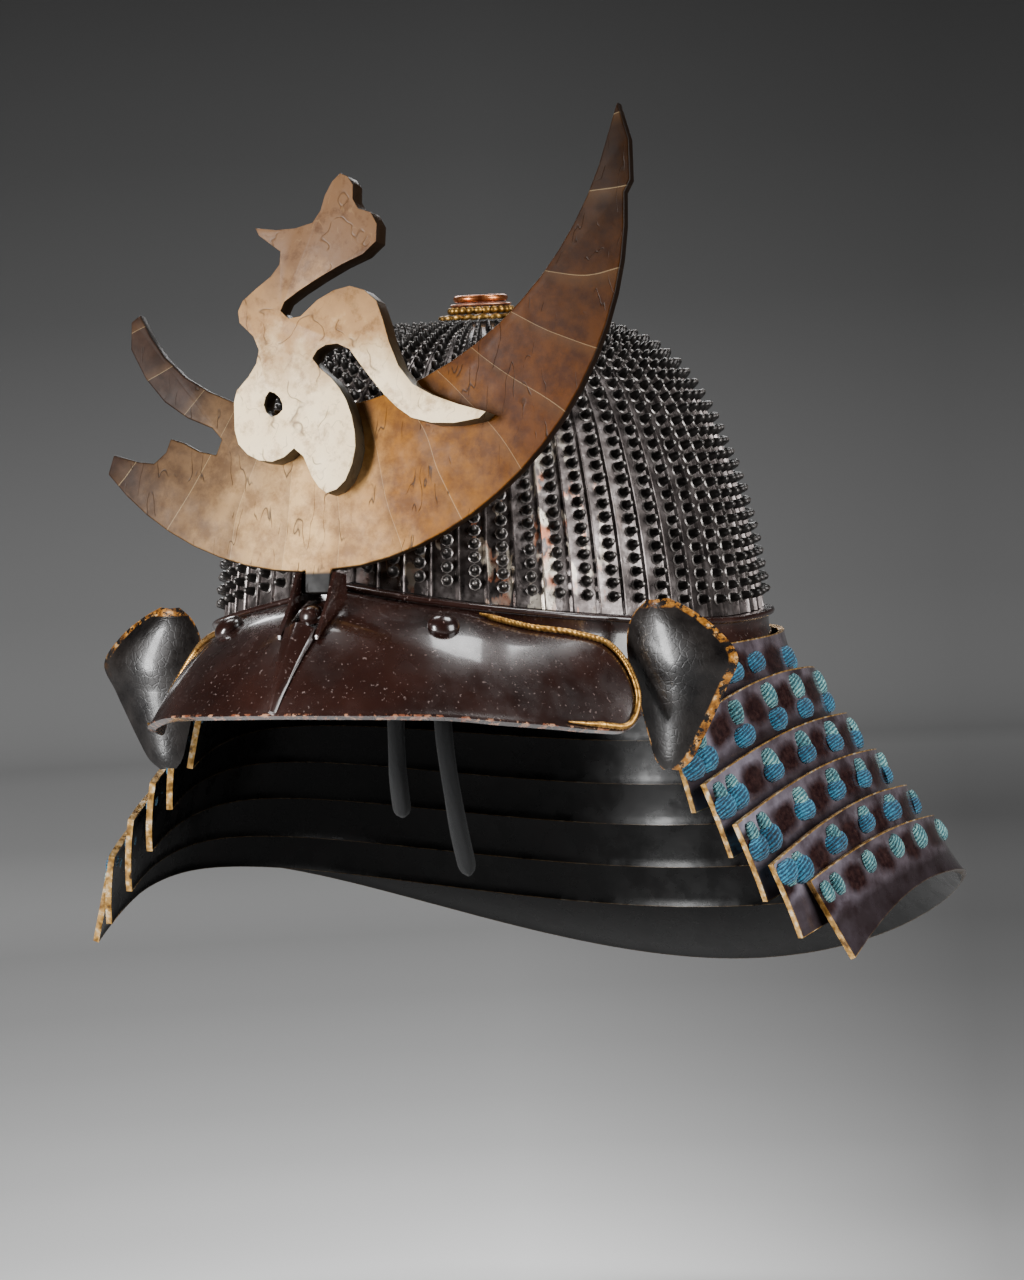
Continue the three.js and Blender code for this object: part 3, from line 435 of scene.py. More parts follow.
PLATE_IRON = plate_iron()
RIVET_IRON = rivet_iron()
BROWN_LACQUER = brown_lacquer("peak_lacquer_red_brown")
BAND_LACQUER = brown_lacquer("band_lacquer_red_brown", chips=False)
LAME_LACQUER = lame_lacquer()
EAR_LEATHER = ear_leather()
CRESCENT_LEAF = crescent_leaf()
FIGURE_GESSO = figure_gesso()
ROPE_GILT = metal("edging_gilt_copper", "#6a4212", "#d9a75a", 0.33, 2.0)
COPPER = metal("crown_copper", "#7a3a1c", "#c97e4c", 0.26)
ROSE_COPPER = metal("crown_rose_copper", "#86513f", "#c99a82", 0.4)
CROWN_GILT = metal("crown_gilt_copper", "#4a3413", "#a98243", 0.42)
PALE_SILK = silk("silk_pale_teal", "#0b252d", "#2f6b74", "#9bc8bf")
DEEP_SILK = silk("silk_deep_blue", "#010d16", "#0c4663", "#3a94b4")
NAVY_COTTON_PAINTED_SHADE = navy_cotton_painted_shade()


# ---- mesh makers ----
def new_piece(name, mesh, finish=None, crease_deg=40, recalculate=True):
    """Links a mesh as a piece, with its faces turned out and smooth except at sharp edges."""
    if recalculate:
        work = bmesh.new()
        work.from_mesh(mesh)
        bmesh.ops.recalc_face_normals(work, faces=work.faces)
        work.to_mesh(mesh)
        work.free()
    mesh.polygons.foreach_set("use_smooth", [True] * len(mesh.polygons))
    mesh.set_sharp_from_angle(angle=math.radians(crease_deg))
    piece = bpy.data.objects.new(name, mesh)
    bpy.context.scene.collection.objects.link(piece)
    if finish is not None:
        mesh.materials.clear()
        mesh.materials.append(finish)
    return piece


def plain_mesh(name, points, faces):
    mesh = bpy.data.meshes.new(name)
    mesh.from_pydata([tuple(p) for p in points], [], faces)
    mesh.update()
    return mesh


def set_values(mesh, name, values):
    made = mesh.attributes.new(name, "FLOAT", "POINT")
    made.data.foreach_set("value", np.asarray(values, np.float32).ravel())


def set_uv(mesh, name, per_point):
    """A UV map from one (u, v) per point."""
    layer = mesh.uv_layers.new(name=name)
    corners = np.zeros(len(mesh.loops), np.int32)
    mesh.loops.foreach_get("vertex_index", corners)
    layer.data.foreach_set("uv", np.asarray(per_point, np.float32)[corners].ravel())


def walled(name, outer, inner, wrapped, outer_values=None, uv=None):
    """A closed wall between two grids of points with the same rows and columns.

    outer_values holds per-point numbers by name, as (for the outer grid, for the inner grid)."""
    rows, columns = outer.shape[:2]
    count = rows * columns
    faces = []

    def at(r, c, layer):
        return layer * count + r * columns + c % columns

    steps = columns if wrapped else columns - 1
    for r in range(rows - 1):
        for c in range(steps):
            faces.append((at(r, c, 0), at(r, c + 1, 0), at(r + 1, c + 1, 0), at(r + 1, c, 0)))
            faces.append((at(r + 1, c, 1), at(r + 1, c + 1, 1), at(r, c + 1, 1), at(r, c, 1)))
    for c in range(steps):
        faces.append((at(0, c, 1), at(0, c + 1, 1), at(0, c + 1, 0), at(0, c, 0)))
        faces.append((at(rows - 1, c, 0), at(rows - 1, c + 1, 0), at(rows - 1, c + 1, 1), at(rows - 1, c, 1)))
    if not wrapped:
        for r in range(rows - 1):
            faces.append((at(r, 0, 0), at(r + 1, 0, 0), at(r + 1, 0, 1), at(r, 0, 1)))
            faces.append((at(r, columns - 1, 1), at(r + 1, columns - 1, 1), at(r + 1, columns - 1, 0),
                          at(r, columns - 1, 0)))
    points = np.concatenate([outer.reshape(-1, 3), inner.reshape(-1, 3)]) * MM
    mesh = plain_mesh(name, points, faces)
    for key, (for_outer, for_inner) in (outer_values or {}).items():
        set_values(mesh, key, np.concatenate([np.ravel(for_outer), np.ravel(for_inner)]))
    if uv is not None:
        flat = uv.reshape(-1, 2)
        set_uv(mesh, "columns", np.concatenate([flat, flat]))
    return mesh


def loop_rings(name, rings, closed_ends=True, wrapped_rings=False, uv_name=None, uv_size=(1, 1)):
    """A skin over rings of points, such as a tube, a turned form or a band's section."""
    rings = np.asarray(rings, float)
    count, sides = rings.shape[:2]
    faces = []
    for r in range(count if wrapped_rings else count - 1):
        n = (r + 1) % count
        for k in range(sides):
            m = (k + 1) % sides
            faces.append((r * sides + k, r * sides + m, n * sides + m, n * sides + k))
    if closed_ends and not wrapped_rings:
        faces.append(tuple(range(sides - 1, -1, -1)))
        faces.append(tuple(range((count - 1) * sides, count * sides)))
    mesh = plain_mesh(name, rings.reshape(-1, 3) * MM, faces)
    if uv_name:
        layer = mesh.uv_layers.new(name=uv_name)
        for polygon in mesh.polygons:
            columns = [mesh.loops[i].vertex_index % sides for i in polygon.loop_indices]
            wrap = 0 in columns and sides - 1 in columns
            for i in polygon.loop_indices:
                r, k = divmod(mesh.loops[i].vertex_index, sides)
                u = 1.0 if wrap and k == 0 else k / sides
                layer.data[i].uv = (u * uv_size[0], r / (count - 1) * uv_size[1])
    return mesh


def turned(name, profile, sides):
    """A form turned round Z from (radius, height) pairs; its ends are closed where the radius is 0."""
    angles = np.arange(sides) * 2 * math.pi / sides
    rings = [[(r * math.cos(a), r * math.sin(a), z) for a in angles] for r, z in profile]
    mesh = loop_rings(name, rings, closed_ends=False)
    work = bmesh.new()
    work.from_mesh(mesh)
    bmesh.ops.remove_doubles(work, verts=work.verts, dist=1e-6)
    work.to_mesh(mesh)
    work.free()
    return mesh


def spline(points, t, closed=False):
    """The smooth curve (centripetal Catmull-Rom) through the points, at t from 0 to 1."""
    pts = [np.asarray(p, float) for p in points]
    count = len(pts)
    spot = (count if closed else count - 1) * min(max(t, 0.0), 1.0)
    k = int(math.floor(spot))
    w = spot - k
    if not closed and k >= count - 1:
        k = count - 2
        w = 1.0
    p1 = pts[k % count]
    p2 = pts[(k + 1) % count]
    p0 = pts[(k - 1) % count] if closed or k > 0 else 2 * pts[0] - pts[1]
    p3 = pts[(k + 2) % count] if closed or k + 2 < count else 2 * pts[-1] - pts[-2]
    gaps = [float(np.linalg.norm(b - a)) ** 0.5 for a, b in ((p0, p1), (p1, p2), (p2, p3))]
    if gaps[1] < 1e-4:
        gaps[1] = 1.0
    gaps[0] = gaps[1] if gaps[0] < 1e-4 else gaps[0]
    gaps[2] = gaps[1] if gaps[2] < 1e-4 else gaps[2]
    d0, d1, d2 = gaps
    first = ((p1 - p0) / d0 - (p2 - p0) / (d0 + d1) + (p2 - p1) / d1) * d1
    last = ((p2 - p1) / d1 - (p3 - p1) / (d1 + d2) + (p3 - p2) / d2) * d1
    return (p1 + first * w + (-3 * p1 + 3 * p2 - 2 * first - last) * w ** 2
            + (2 * p1 - 2 * p2 + first + last) * w ** 3)


def unit(v):
    return np.asarray(v, float) / np.linalg.norm(v)


# ---- repeats: one tree puts a small shape on every point of a carrier ----
def repeat_tree():
    tree = bpy.data.node_groups.new("shape_on_every_point", "GeometryNodeTree")
    sockets = (("Points", "NodeSocketGeometry"), ("Shape", "NodeSocketObject"), ("Size", "NodeSocketFloat"),
               ("Size Spread", "NodeSocketFloat"), ("Turn Spread", "NodeSocketFloat"),
               ("Seed", "NodeSocketInt"), ("Finish", "NodeSocketMaterial"))
    for label, kind in sockets:
        tree.interface.new_socket(label, in_out="INPUT", socket_type=kind)
    tree.interface.new_socket("Pieces", in_out="OUTPUT", socket_type="NodeSocketGeometry")
    given = add_node(tree, "NodeGroupInput").outputs

    def named(label):
        return add_node(tree, "GeometryNodeInputNamedAttribute", {"Name": label},
                        data_type="FLOAT_VECTOR").outputs["Attribute"]

    shape = add_node(tree, "GeometryNodeObjectInfo", {"Object": given["Shape"], "As Instance": True})
    faced = add_node(tree, "FunctionNodeAlignRotationToVector", {"Vector": named("facing")}, axis="Z")
    turned_round = add_node(tree, "FunctionNodeAlignRotationToVector",
                            {"Rotation": faced.outputs["Rotation"], "Vector": named("down")}, axis="Y",
                            pivot_axis="Z")
    limits = {"Min": (-1, -1, -1), "Max": (1, 1, 1), "Seed": given["Seed"]}
    spread = add_node(tree, "FunctionNodeRandomValue", limits, data_type="FLOAT_VECTOR").outputs["Value"]
    lean = add_node(tree, "ShaderNodeVectorMath", {0: spread, "Scale": given["Turn Spread"]},
                    operation="SCALE")
    leaned = add_node(tree, "FunctionNodeRotateRotation", {
        "Rotation": turned_round.outputs["Rotation"],
        "Rotate By": add_node(tree, "FunctionNodeEulerToRotation",
                              {"Euler": lean.outputs["Vector"]}).outputs["Rotation"]}, rotation_space="LOCAL")
    vary = add_node(tree, "ShaderNodeVectorMath", {0: spread, "Scale": given["Size Spread"]},
                    operation="SCALE")
    grow = add_node(tree, "ShaderNodeVectorMath", {0: vary.outputs["Vector"], 1: (1, 1, 1)}, operation="ADD")
    scaled = add_node(tree, "ShaderNodeVectorMath", {0: grow.outputs["Vector"], 1: named("size")},
                      operation="MULTIPLY")
    sized = add_node(tree, "ShaderNodeVectorMath", {0: scaled.outputs["Vector"], "Scale": given["Size"]},
                     operation="SCALE")
    placed = add_node(tree, "GeometryNodeInstanceOnPoints", {
        "Points": given["Points"], "Instance": shape.outputs["Geometry"],
        "Rotation": leaned.outputs["Rotation"], "Scale": sized.outputs["Vector"]})
    real = add_node(tree, "GeometryNodeRealizeInstances", {"Geometry": placed.outputs["Instances"]})
    painted = add_node(tree, "GeometryNodeSetMaterial", {"Geometry": real.outputs["Geometry"],
                                                        "Material": given["Finish"]})
    add_node(tree, "NodeGroupOutput", {"Pieces": painted.outputs["Geometry"]})
    return tree


REPEAT = repeat_tree()


def repeat_shape(name, spots, shape_mesh, finish, size=1.0, size_spread=0.0, turn_spread=0.0, seed=1):
    """spots is a list of (place mm, facing, down, size vector). Returns one plain mesh piece."""
    carrier_mesh = plain_mesh(name + "_points", [np.asarray(s[0]) * MM for s in spots], [])
    for label, k in (("facing", 1), ("down", 2), ("size", 3)):
        made = carrier_mesh.attributes.new(label, "FLOAT_VECTOR", "POINT")
        made.data.foreach_set("vector", np.asarray([s[k] for s in spots], np.float32).ravel())
    carrier = bpy.data.objects.new(name + "_points", carrier_mesh)
    shape = bpy.data.objects.new(name + "_shape", shape_mesh)
    for thing in (carrier, shape):
        bpy.context.scene.collection.objects.link(thing)
    modifier = carrier.modifiers.new("repeat", "NODES")
    modifier.node_group = REPEAT
    values = {"Shape": shape, "Size": size, "Size Spread": size_spread, "Turn Spread": turn_spread,
              "Seed": seed, "Finish": finish}
    for item in REPEAT.interface.items_tree:
        if item.item_type == "SOCKET" and item.in_out == "INPUT" and item.name in values:
            modifier[item.identifier] = values[item.name]
    bpy.context.view_layer.update()
    evaluated = carrier.evaluated_get(bpy.context.evaluated_depsgraph_get())
    mesh = bpy.data.meshes.new_from_object(evaluated)
    for thing in (carrier, shape):
        bpy.data.objects.remove(thing)
    return new_piece(name, mesh, finish, recalculate=False)


# ---- ties: two ends of navy cotton hanging inside the brow ----
TIE_RADIUS = 3.6
TIES = {
    "tie_cord_short": [(13, -108.5, -15), (13, -108.3, -30), (12.6, -108, -48), (14, -107.6, -66)],
    "tie_cord_long": [(31, -105, -15), (31, -104.8, -34), (32.5, -104.4, -52), (35, -104, -70),
                      (38.5, -103.5, -88)],
}
TIE_RINGS = 48
TIE_SIDES = 20


def tie_end(name, route):
    """A cloth band folded lengthwise, with a rounded sewn end."""
    rings = []
    centres = [spline(route, k / (TIE_RINGS - 1)) for k in range(TIE_RINGS)]
    for k, centre in enumerate(centres):
        t = k / (TIE_RINGS - 1)
        ahead = unit(centres[min(k + 1, TIE_RINGS - 1)] - centres[max(k - 1, 0)])
        side = unit(np.cross(ahead, (0, 1, 0)))
        front = np.cross(side, ahead)
        left = (1 - t) * TIE_RINGS
        end = math.sqrt(max(0.02, 1 - max(0.0, 1 - left / 3.5) ** 2)) if left < 3.5 else 1.0
        ring = []
        for j in range(TIE_SIDES):
            a = 2 * math.pi * j / TIE_SIDES
            fold = 1 - 0.16 * abs(math.cos(1.5 * a + 0.7 + 0.5 * math.sin(5 * t))) ** 4
            reach = TIE_RADIUS * end * fold * (1 + 0.03 * math.sin(9 * t + 2 * a))
            ring.append(centre + side * reach * math.cos(a) + front * reach * 0.86 * math.sin(a))
        rings.append(ring)
    mesh = loop_rings(name, rings, uv_name="weave", uv_size=(6, 24))
    piece = new_piece(name + "_cloth", mesh, NAVY_COTTON_PAINTED_SHADE, 60)
    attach(piece, "helmet")
    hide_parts(name)


for tie_name, tie_route in TIES.items():
    tie_end(tie_name, tie_route)


# ---- the solids' own shape rules, in millimetres ----
PLATES = 62
BOWL_HALF_WIDTH = 101.8
BOWL_LENGTHENING = 0.133
BOWL_WALL = 2.4
BOWL_LINE = [(0, 101.8), (20, 99.6), (40, 96), (61, 90), (83, 81), (101, 67), (111.5, 47), (117, 10)]
BOWL_TOP = 117
BROW_RISE = 22
BROW_POWER = 1.5
smooth_line = np.array([spline(BOWL_LINE, t) for t in np.linspace(0, 1, 400)])
line_run = np.concatenate([[0], np.cumsum(np.linalg.norm(np.diff(smooth_line, axis=0), axis=1))])


def rim_height(angle):
    turn = np.abs(np.arctan2(np.sin(angle), np.cos(angle))) / (math.pi / 2)
    return BROW_RISE * np.maximum(0, 1 - turn) ** BROW_POWER


def ellipse_point(angle, half_width, height, out):
    """A point round the bowl: angle 0 is the brow, 90 degrees is the wearer's left."""
    angle, half_width, height, out = np.broadcast_arrays(angle, half_width, height, out)
    longer = 1 + BOWL_LENGTHENING * half_width / BOWL_HALF_WIDTH
    outward = np.stack([np.sin(angle) * longer, -np.cos(angle)])
    outward = outward / np.linalg.norm(outward, axis=0)
    return np.stack([np.sin(angle) * half_width + outward[0] * out,
                     -np.cos(angle) * half_width * longer + outward[1] * out, height * 1.0], axis=-1)


def bowl_point(angle, run, out=0.0):
    """A point on the bowl's plates: run goes from 0 at the rim to 1 at the crown."""
    level = np.interp(run * line_run[-1], line_run, smooth_line[:, 0])
    foot = rim_height(angle) + GAP
    height = foot + level / BOWL_TOP * (BOWL_TOP - foot)
    return ellipse_point(angle, np.interp(height, smooth_line[:, 0], smooth_line[:, 1]), height, out)


def settle(piece, body, slot, *nodes):
    """Hangs a piece on its body and hides the solids that it stands in for; slot is not used."""
    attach(piece, body)
    if nodes:
        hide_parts(*nodes)


def grid_normals(grid, toward):
    across = np.gradient(grid, axis=1)
    down = np.gradient(grid, axis=0)
    normals = np.cross(across, down)
    normals /= np.maximum(np.linalg.norm(normals, axis=-1, keepdims=True), 1e-9)
    return normals if np.sum(normals * toward) > 0 else -normals


def thick_sheet(name, grid, half_thick, toward, values=None, uv=None):
    normals = grid_normals(grid, toward)
    half = np.broadcast_to(half_thick, grid.shape[:2])[..., None]
    return walled(name, grid + normals * half, grid - normals * half, False, values, uv)


# ---- bowl: riveted plates, each with its edge turned up as a thin rib ----
RIB_HEIGHT = 1.3
# Share of a plate's width, and the rib's height there as a share of RIB_HEIGHT.
RIB_SECTION = [(0, 1), (0.04, 1.05), (0.075, 0.8), (0.1, 0.05), (0.2, 0), (0.5, 0), (0.85, 0.03),
               (0.93, 0.15), (0.97, 0.7)]
BOWL_ROWS = 40
shares = np.array([[share for share, _ in RIB_SECTION]] * PLATES) + np.arange(PLATES)[:, None]
column_angles = shares.ravel() * 2 * math.pi / PLATES
rib_heights = np.tile([height for _, height in RIB_SECTION], PLATES) * RIB_HEIGHT
row_runs = np.linspace(0, 1, BOWL_ROWS)[:, None]
rib_fade = np.clip((1 - row_runs) * 3.2, 0.15, 1)
plates = walled("plated_bowl", bowl_point(column_angles[None, :], row_runs, rib_heights[None, :] * rib_fade),
                bowl_point(column_angles[None, :], row_runs, -BOWL_WALL), True)
settle(new_piece("plated_bowl", plates, PLATE_IRON, 28), "helmet", "iron_plates", "bowl")

RIVET_PROFILE = [(0, -0.8), (2.45, -0.8), (2.4, 0.3), (1.85, 0.7), (1.6, 2.6), (1.15, 4.2), (0, 5.0)]
RIVET_SHARE = 0.62
RIVET_PITCH = 5.0
RIVET_START = 6.6
rivet_mesh = turned("rivet", RIVET_PROFILE, 8)
# The seat and the tip get the light tone, partly rubbed metal and partly a painted highlight.
set_values(rivet_mesh, "rub_and_highlight", [0.9 if v.co.z < 0.5 * MM else 0.6 if v.co.z > 4.6 * MM else 0.05
                               for v in rivet_mesh.vertices])


def rivet_spots():
    spots = []
    for plate in range(PLATES):
        angle = (plate + RIVET_SHARE) * 2 * math.pi / PLATES
        column = bowl_point(angle, np.linspace(0, 1, 400))
        run = np.concatenate([[0], np.cumsum(np.linalg.norm(np.diff(column, axis=0), axis=1))])
        sideways = np.array([math.cos(angle), math.sin(angle), 0])
        at = RIVET_START
        while at < run[-1] - 22:
            place = np.array([np.interp(at, run, column[:, k]) for k in range(3)])
            ahead = np.array([np.interp(at + 1, run, column[:, k]) for k in range(3)])
            up = unit(ahead - place)
            room = np.hypot(place[0], place[1]) * 2 * math.pi / PLATES
            scale = min(1.0, room / 7.5)
            spots.append((place, unit(np.cross(sideways, up)), -up, (scale, scale, 0.4 + 0.6 * scale)))
            at += RIVET_PITCH * (0.45 + 0.55 * scale)
    return spots


rivets = repeat_shape("bowl_rivets", rivet_spots(), rivet_mesh, RIVET_IRON, size_spread=0.06,
                      turn_spread=0.05, seed=4)
settle(rivets, "helmet", "iron_plates")

# ---- band round the rim, with a rolled lip ----
BAND_COLUMNS = 176
BAND_OUT_DOWN = [(-2.4, 0.0), (4.2, 0.0), (5.1, 0.3), (5.5, 1.1), (5.2, 2.0), (4.4, 2.4), (3.2, 2.5),
                 (3.0, 2.8)]
band_angles = np.linspace(0, 2 * math.pi, BAND_COLUMNS, endpoint=False)
band_lip = rim_height(band_angles)
band_rings = [ellipse_point(band_angles, BOWL_HALF_WIDTH, band_lip - drop, out)
              for out, drop in BAND_OUT_DOWN]
for out, height in ((3.0, -7.6), (3.8, -8.6), (3.8, -12.6), (3.3, -13.0), (0.5, -13.0)):
    band_rings.append(ellipse_point(band_angles, BOWL_HALF_WIDTH, height, out))
band_rings.append(ellipse_point(band_angles, BOWL_HALF_WIDTH, band_lip - 2.4, 0.5))
band_rings.append(ellipse_point(band_angles, BOWL_HALF_WIDTH, band_lip - 1.2, -BOWL_WALL))
band_mesh = loop_rings("brow_band_rolled", np.swapaxes(np.array(band_rings), 0, 1), wrapped_rings=True)
settle(new_piece("brow_band_rolled", band_mesh, BAND_LACQUER, 50), "helmet", "brown_lacquer", "brow_band")


# ---- peak ----
def on_band(degrees, drop, stand):
    angle = math.radians(degrees)
    return ellipse_point(angle, BOWL_HALF_WIDTH, rim_height(angle) - drop, 3 + stand)


PEAK_TOP = [on_band(0, 4.2, 0.9), on_band(9, 4.2, 0.9), on_band(18, 4.2, 0.9), on_band(26, 4.4, 1.2),
            on_band(33, 7, 2), on_band(41, 8.4, 2.8), on_band(49, 9.2, 4.4), (90, -77, -8.5),
            (98, -77.5, -19)]
PEAK_FOOT = [(0, -175, -22.5), (24, -171, -23), (45, -162, -24), (60, -150.5, -25.6), (73, -137.5, -28.4),
             (85, -121.5, -31.4), (94, -105, -34.4), (100, -91.5, -35.5), (102, -84.5, -31)]
PEAK_SWELL = [8.5, 8, 7, 6, 4.5, 3.5, 2.5, 1.5, 0.3]
PEAK_WALL = 2.2


def both_sides(rows):
    return [(-r[0], r[1], r[2]) for r in rows[:0:-1]] + [tuple(r) for r in rows]


PEAK_SWELLS = [(swell, 0, 0) for swell in PEAK_SWELL[:0:-1] + PEAK_SWELL]
PEAK_TABLES = (both_sides(PEAK_TOP), both_sides(PEAK_FOOT), PEAK_SWELLS)


def peak_point(s, t):
    """s from -1 to 1 across the brow, t from the band to the free edge."""
    top, foot, swell = (spline(table, (s + 1) / 2) for table in PEAK_TABLES)
    t = np.atleast_1d(t)[:, None]
    points = top + (foot - top) * t
    out = np.stack([points[:, 0] * 0.35, np.full(len(points), -60.0), np.full(len(points), 72.0)], axis=-1)
    out /= np.linalg.norm(out, axis=1, keepdims=True)
    bulge = np.maximum(np.sin(math.pi * np.clip(t, 0, 1) ** 0.8), 0) ** 0.9
    return points + out * swell[0] * bulge


def peak_seat(s, t):
    """A point of the peak's middle surface and the way out of its upper face."""
    d = 0.01
    side = peak_point(min(s + d, 1), t)[0] - peak_point(max(s - d, -1), t)[0]
    down = peak_point(s, min(t + d, 1))[0] - peak_point(s, max(t - d, 0))[0]
    return peak_point(s, t)[0], unit(np.cross(down, side))


peak_s = np.linspace(-1, 1, 145)
peak_t = np.concatenate([np.linspace(0, 0.93, 27), [0.955, 0.975, 0.99, 1.0]])
peak_grid = np.stack([peak_point(s, peak_t) for s in peak_s], axis=1)
edge_reach = (1 - peak_t)[:, None] * np.linalg.norm(peak_grid[-1] - peak_grid[0], axis=1)[None, :]
side_reach = (1 - np.abs(peak_s))[None, :] * 130 + np.zeros((len(peak_t), 1))
peak_edge = np.minimum(edge_reach, side_reach)
peak_half = PEAK_WALL / 2 + 0.5 * np.exp(-(edge_reach / 2.0) ** 2)
peak_mesh = thick_sheet("peak_lacquered", peak_grid, peak_half, np.array([0, -0.6, 0.8]),
                        {"edge_mm": (peak_edge, peak_edge)})
settle(new_piece("peak_lacquered", peak_mesh, BROWN_LACQUER, 50), "helmet", "brown_lacquer", "peak")


def placed_mesh(mesh, place, normal):
    """Moves a turned form so that it stands on place (mm) with its axis along normal."""
    facing = Vector(normal).to_track_quat("Z", "Y").to_matrix().to_4x4()
    mesh.transform(Matrix.Translation(Vector(place) * MM) @ facing)
    return mesh


def dome(name, radius, height):
    steps = 10
    arc = [(radius * math.cos(math.pi / 2 * k / steps), 0.5 + height * math.sin(math.pi / 2 * k / steps))
           for k in range(steps)]
    return turned(name, [(0, -0.4), (radius * 0.97, -0.4)] + arc + [(0, 0.5 + height)], 36)


for dome_name, side in (("peak_rivet_left", 1), ("peak_rivet_right", -1)):
    point, normal = peak_seat(side * 0.315, 0.27)
    mesh = placed_mesh(dome(dome_name, 6, 4), point + normal * (PEAK_WALL / 2), normal)
    settle(new_piece(dome_name + "_dome", mesh, BAND_LACQUER, 50), "helmet", "brown_lacquer", dome_name)


def tube(name, points, sides, radius_at, **more):
    """A skin round a line of points; radius_at gives the radius by (share of the run, angle)."""
    points = np.asarray(points, float)
    ahead = np.gradient(points, axis=0)
    ahead /= np.linalg.norm(ahead, axis=1, keepdims=True)
    side = unit(np.cross(ahead[0], (0.1, 0.2, 1)))
    rings = []
    for k, centre in enumerate(points):
        side = unit(side - ahead[k] * np.dot(side, ahead[k]))
        front = np.cross(ahead[k], side)
        angles = np.arange(sides) * 2 * math.pi / sides
        reach = np.array([radius_at(k / (len(points) - 1), a) for a in angles])
        aside = side * (reach * np.cos(angles))[:, None]
        rings.append(centre + aside + front * (reach * np.sin(angles))[:, None])
    return loop_rings(name, rings, **more)


# Gilt rope edging along the wings: three strands, twisted about once in 5 mm.
EDGING_RUN = [(0.4, 0.06), (0.47, 0.045), (0.56, 0.045), (0.68, 0.045), (0.8, 0.05), (0.9, 0.1), (0.965, 0.3),
              (0.975, 0.6), (0.94, 0.86), (0.86, 0.95), (0.76, 0.955), (0.66, 0.96)]
ROPE_RADIUS = 1.2
ROPE_TURNS = 44


def rope_radius(share, angle):
    fade = min(1.0, 0.35 + share * 12, 0.3 + (1 - share) * 8)
    twisted = angle - share * ROPE_TURNS * 2 * math.pi / 1.5
    return ROPE_RADIUS * fade * (0.8 + 0.22 * abs(math.cos(1.5 * twisted)))


for rope_name, side in (("peak_edging_left", 1), ("peak_edging_right", -1)):
    seats = [peak_seat(side * s, t) for s, t in EDGING_RUN]
    run = [point + normal * (PEAK_WALL / 2 + ROPE_RADIUS) for point, normal in seats]
    line = [spline(run, t) for t in np.linspace(0, 1, 420)]
    mesh = tube(rope_name, line, 12, rope_radius)
    settle(new_piece(rope_name + "_rope", mesh, ROPE_GILT, 60), "helmet", "gilt_edge", rope_name)


# ---- crest holder, its rivet, and the crest's two boards, with their edges eased ----
def eased_copy(node, name, width_mm, finish, segments=3):
    """The node's own mesh with its corners rounded."""
    work = bmesh.new()
    work.from_mesh(bpy.data.objects[node].data)
    bmesh.ops.remove_doubles(work, verts=work.verts, dist=1e-5)
    bmesh.ops.dissolve_limit(work, angle_limit=math.radians(1.5), verts=work.verts, edges=work.edges)
    mesh = bpy.data.meshes.new(name)
    work.to_mesh(mesh)
    work.free()
    mesh.transform(bpy.data.objects[node].matrix_world)
    holder = bpy.data.objects.new(name + "_rough", mesh)
    bpy.context.scene.collection.objects.link(holder)
    easing = holder.modifiers.new("easing", "BEVEL")
    easing.width = width_mm * MM
    easing.segments = segments
    easing.limit_method = "ANGLE"
    easing.angle_limit = math.radians(35)
    easing.use_clamp_overlap = True
    bpy.context.view_layer.update()
    smooth = bpy.data.meshes.new_from_object(holder.evaluated_get(bpy.context.evaluated_depsgraph_get()))
    bpy.data.objects.remove(holder)
    return new_piece(name, smooth, finish, 30, recalculate=False)


settle(eased_copy("crest_holder", "crest_holder_eased", 0.35, BAND_LACQUER), "helmet", "brown_lacquer",
       "crest_holder")
settle(eased_copy("crest_crescent", "crest_crescent_board", 0.7, CRESCENT_LEAF), "crest", "crescent_gilt",
       "crest_crescent")
settle(eased_copy("crest_figure", "crest_figure_board", 1.6, FIGURE_GESSO), "crest", "figure_gilt",
       "crest_figure")
point, normal = peak_seat(0, 0.33)
mesh = placed_mesh(dome("holder_rivet", 4.6, 3.6), point + normal * (PEAK_WALL / 2), normal)
settle(new_piece("holder_rivet_dome", mesh, BAND_LACQUER, 50), "helmet", "brown_lacquer", "holder_rivet")

# ---- neck guard: six lames ----
# Each row: the top edge at its side, back and front corner, then the foot at the same three.
LAMES = [
    ((107.4, 0, -9.5), (121.2, -9.5), (90.2, -66, -10.5),
     (115.2, 9, -44), (126, -60), (103, -66.5, -52)),
    ((119.2, 12, -22), (129, -41), (106.7, -70, -39.5),
     (129.6, 18, -59.5), (132, -79), (113.4, -66.2, -68.3)),
    ((129.4, 21, -41), (135.5, -58), (118.8, -68.9, -57.4),
     (139.6, 21, -75), (139.5, -97), (126, -62.4, -85.3)),
    ((141, 21, -55), (143, -77), (130.5, -67.8, -72.2),
     (151.4, 20, -91), (148.5, -116), (138, -59.9, -101.7)),
    ((153, 20, -69), (152, -95), (142.6, -64.3, -87.4),
     (162.4, 22, -104), (158, -134), (150.2, -56.8, -115.4)),
    ((162.2, 24, -81), (161, -112), (152, -52, -95),
     (168, 34, -103), (198, -161), (165.3, -44, -124.5)),
]
TOP_POWER = [2.15] + [1.95] * 5
LAME_SWELL = [(0.8, 0.8)] * 5 + [(0, -7)]
LAME_HALF_WALL = 0.9
SIDE_POWER = 1.95
FRONT_POWER = 1.95
SIDE_SHARE = 0.58
KNOT_PITCH = 0.1175


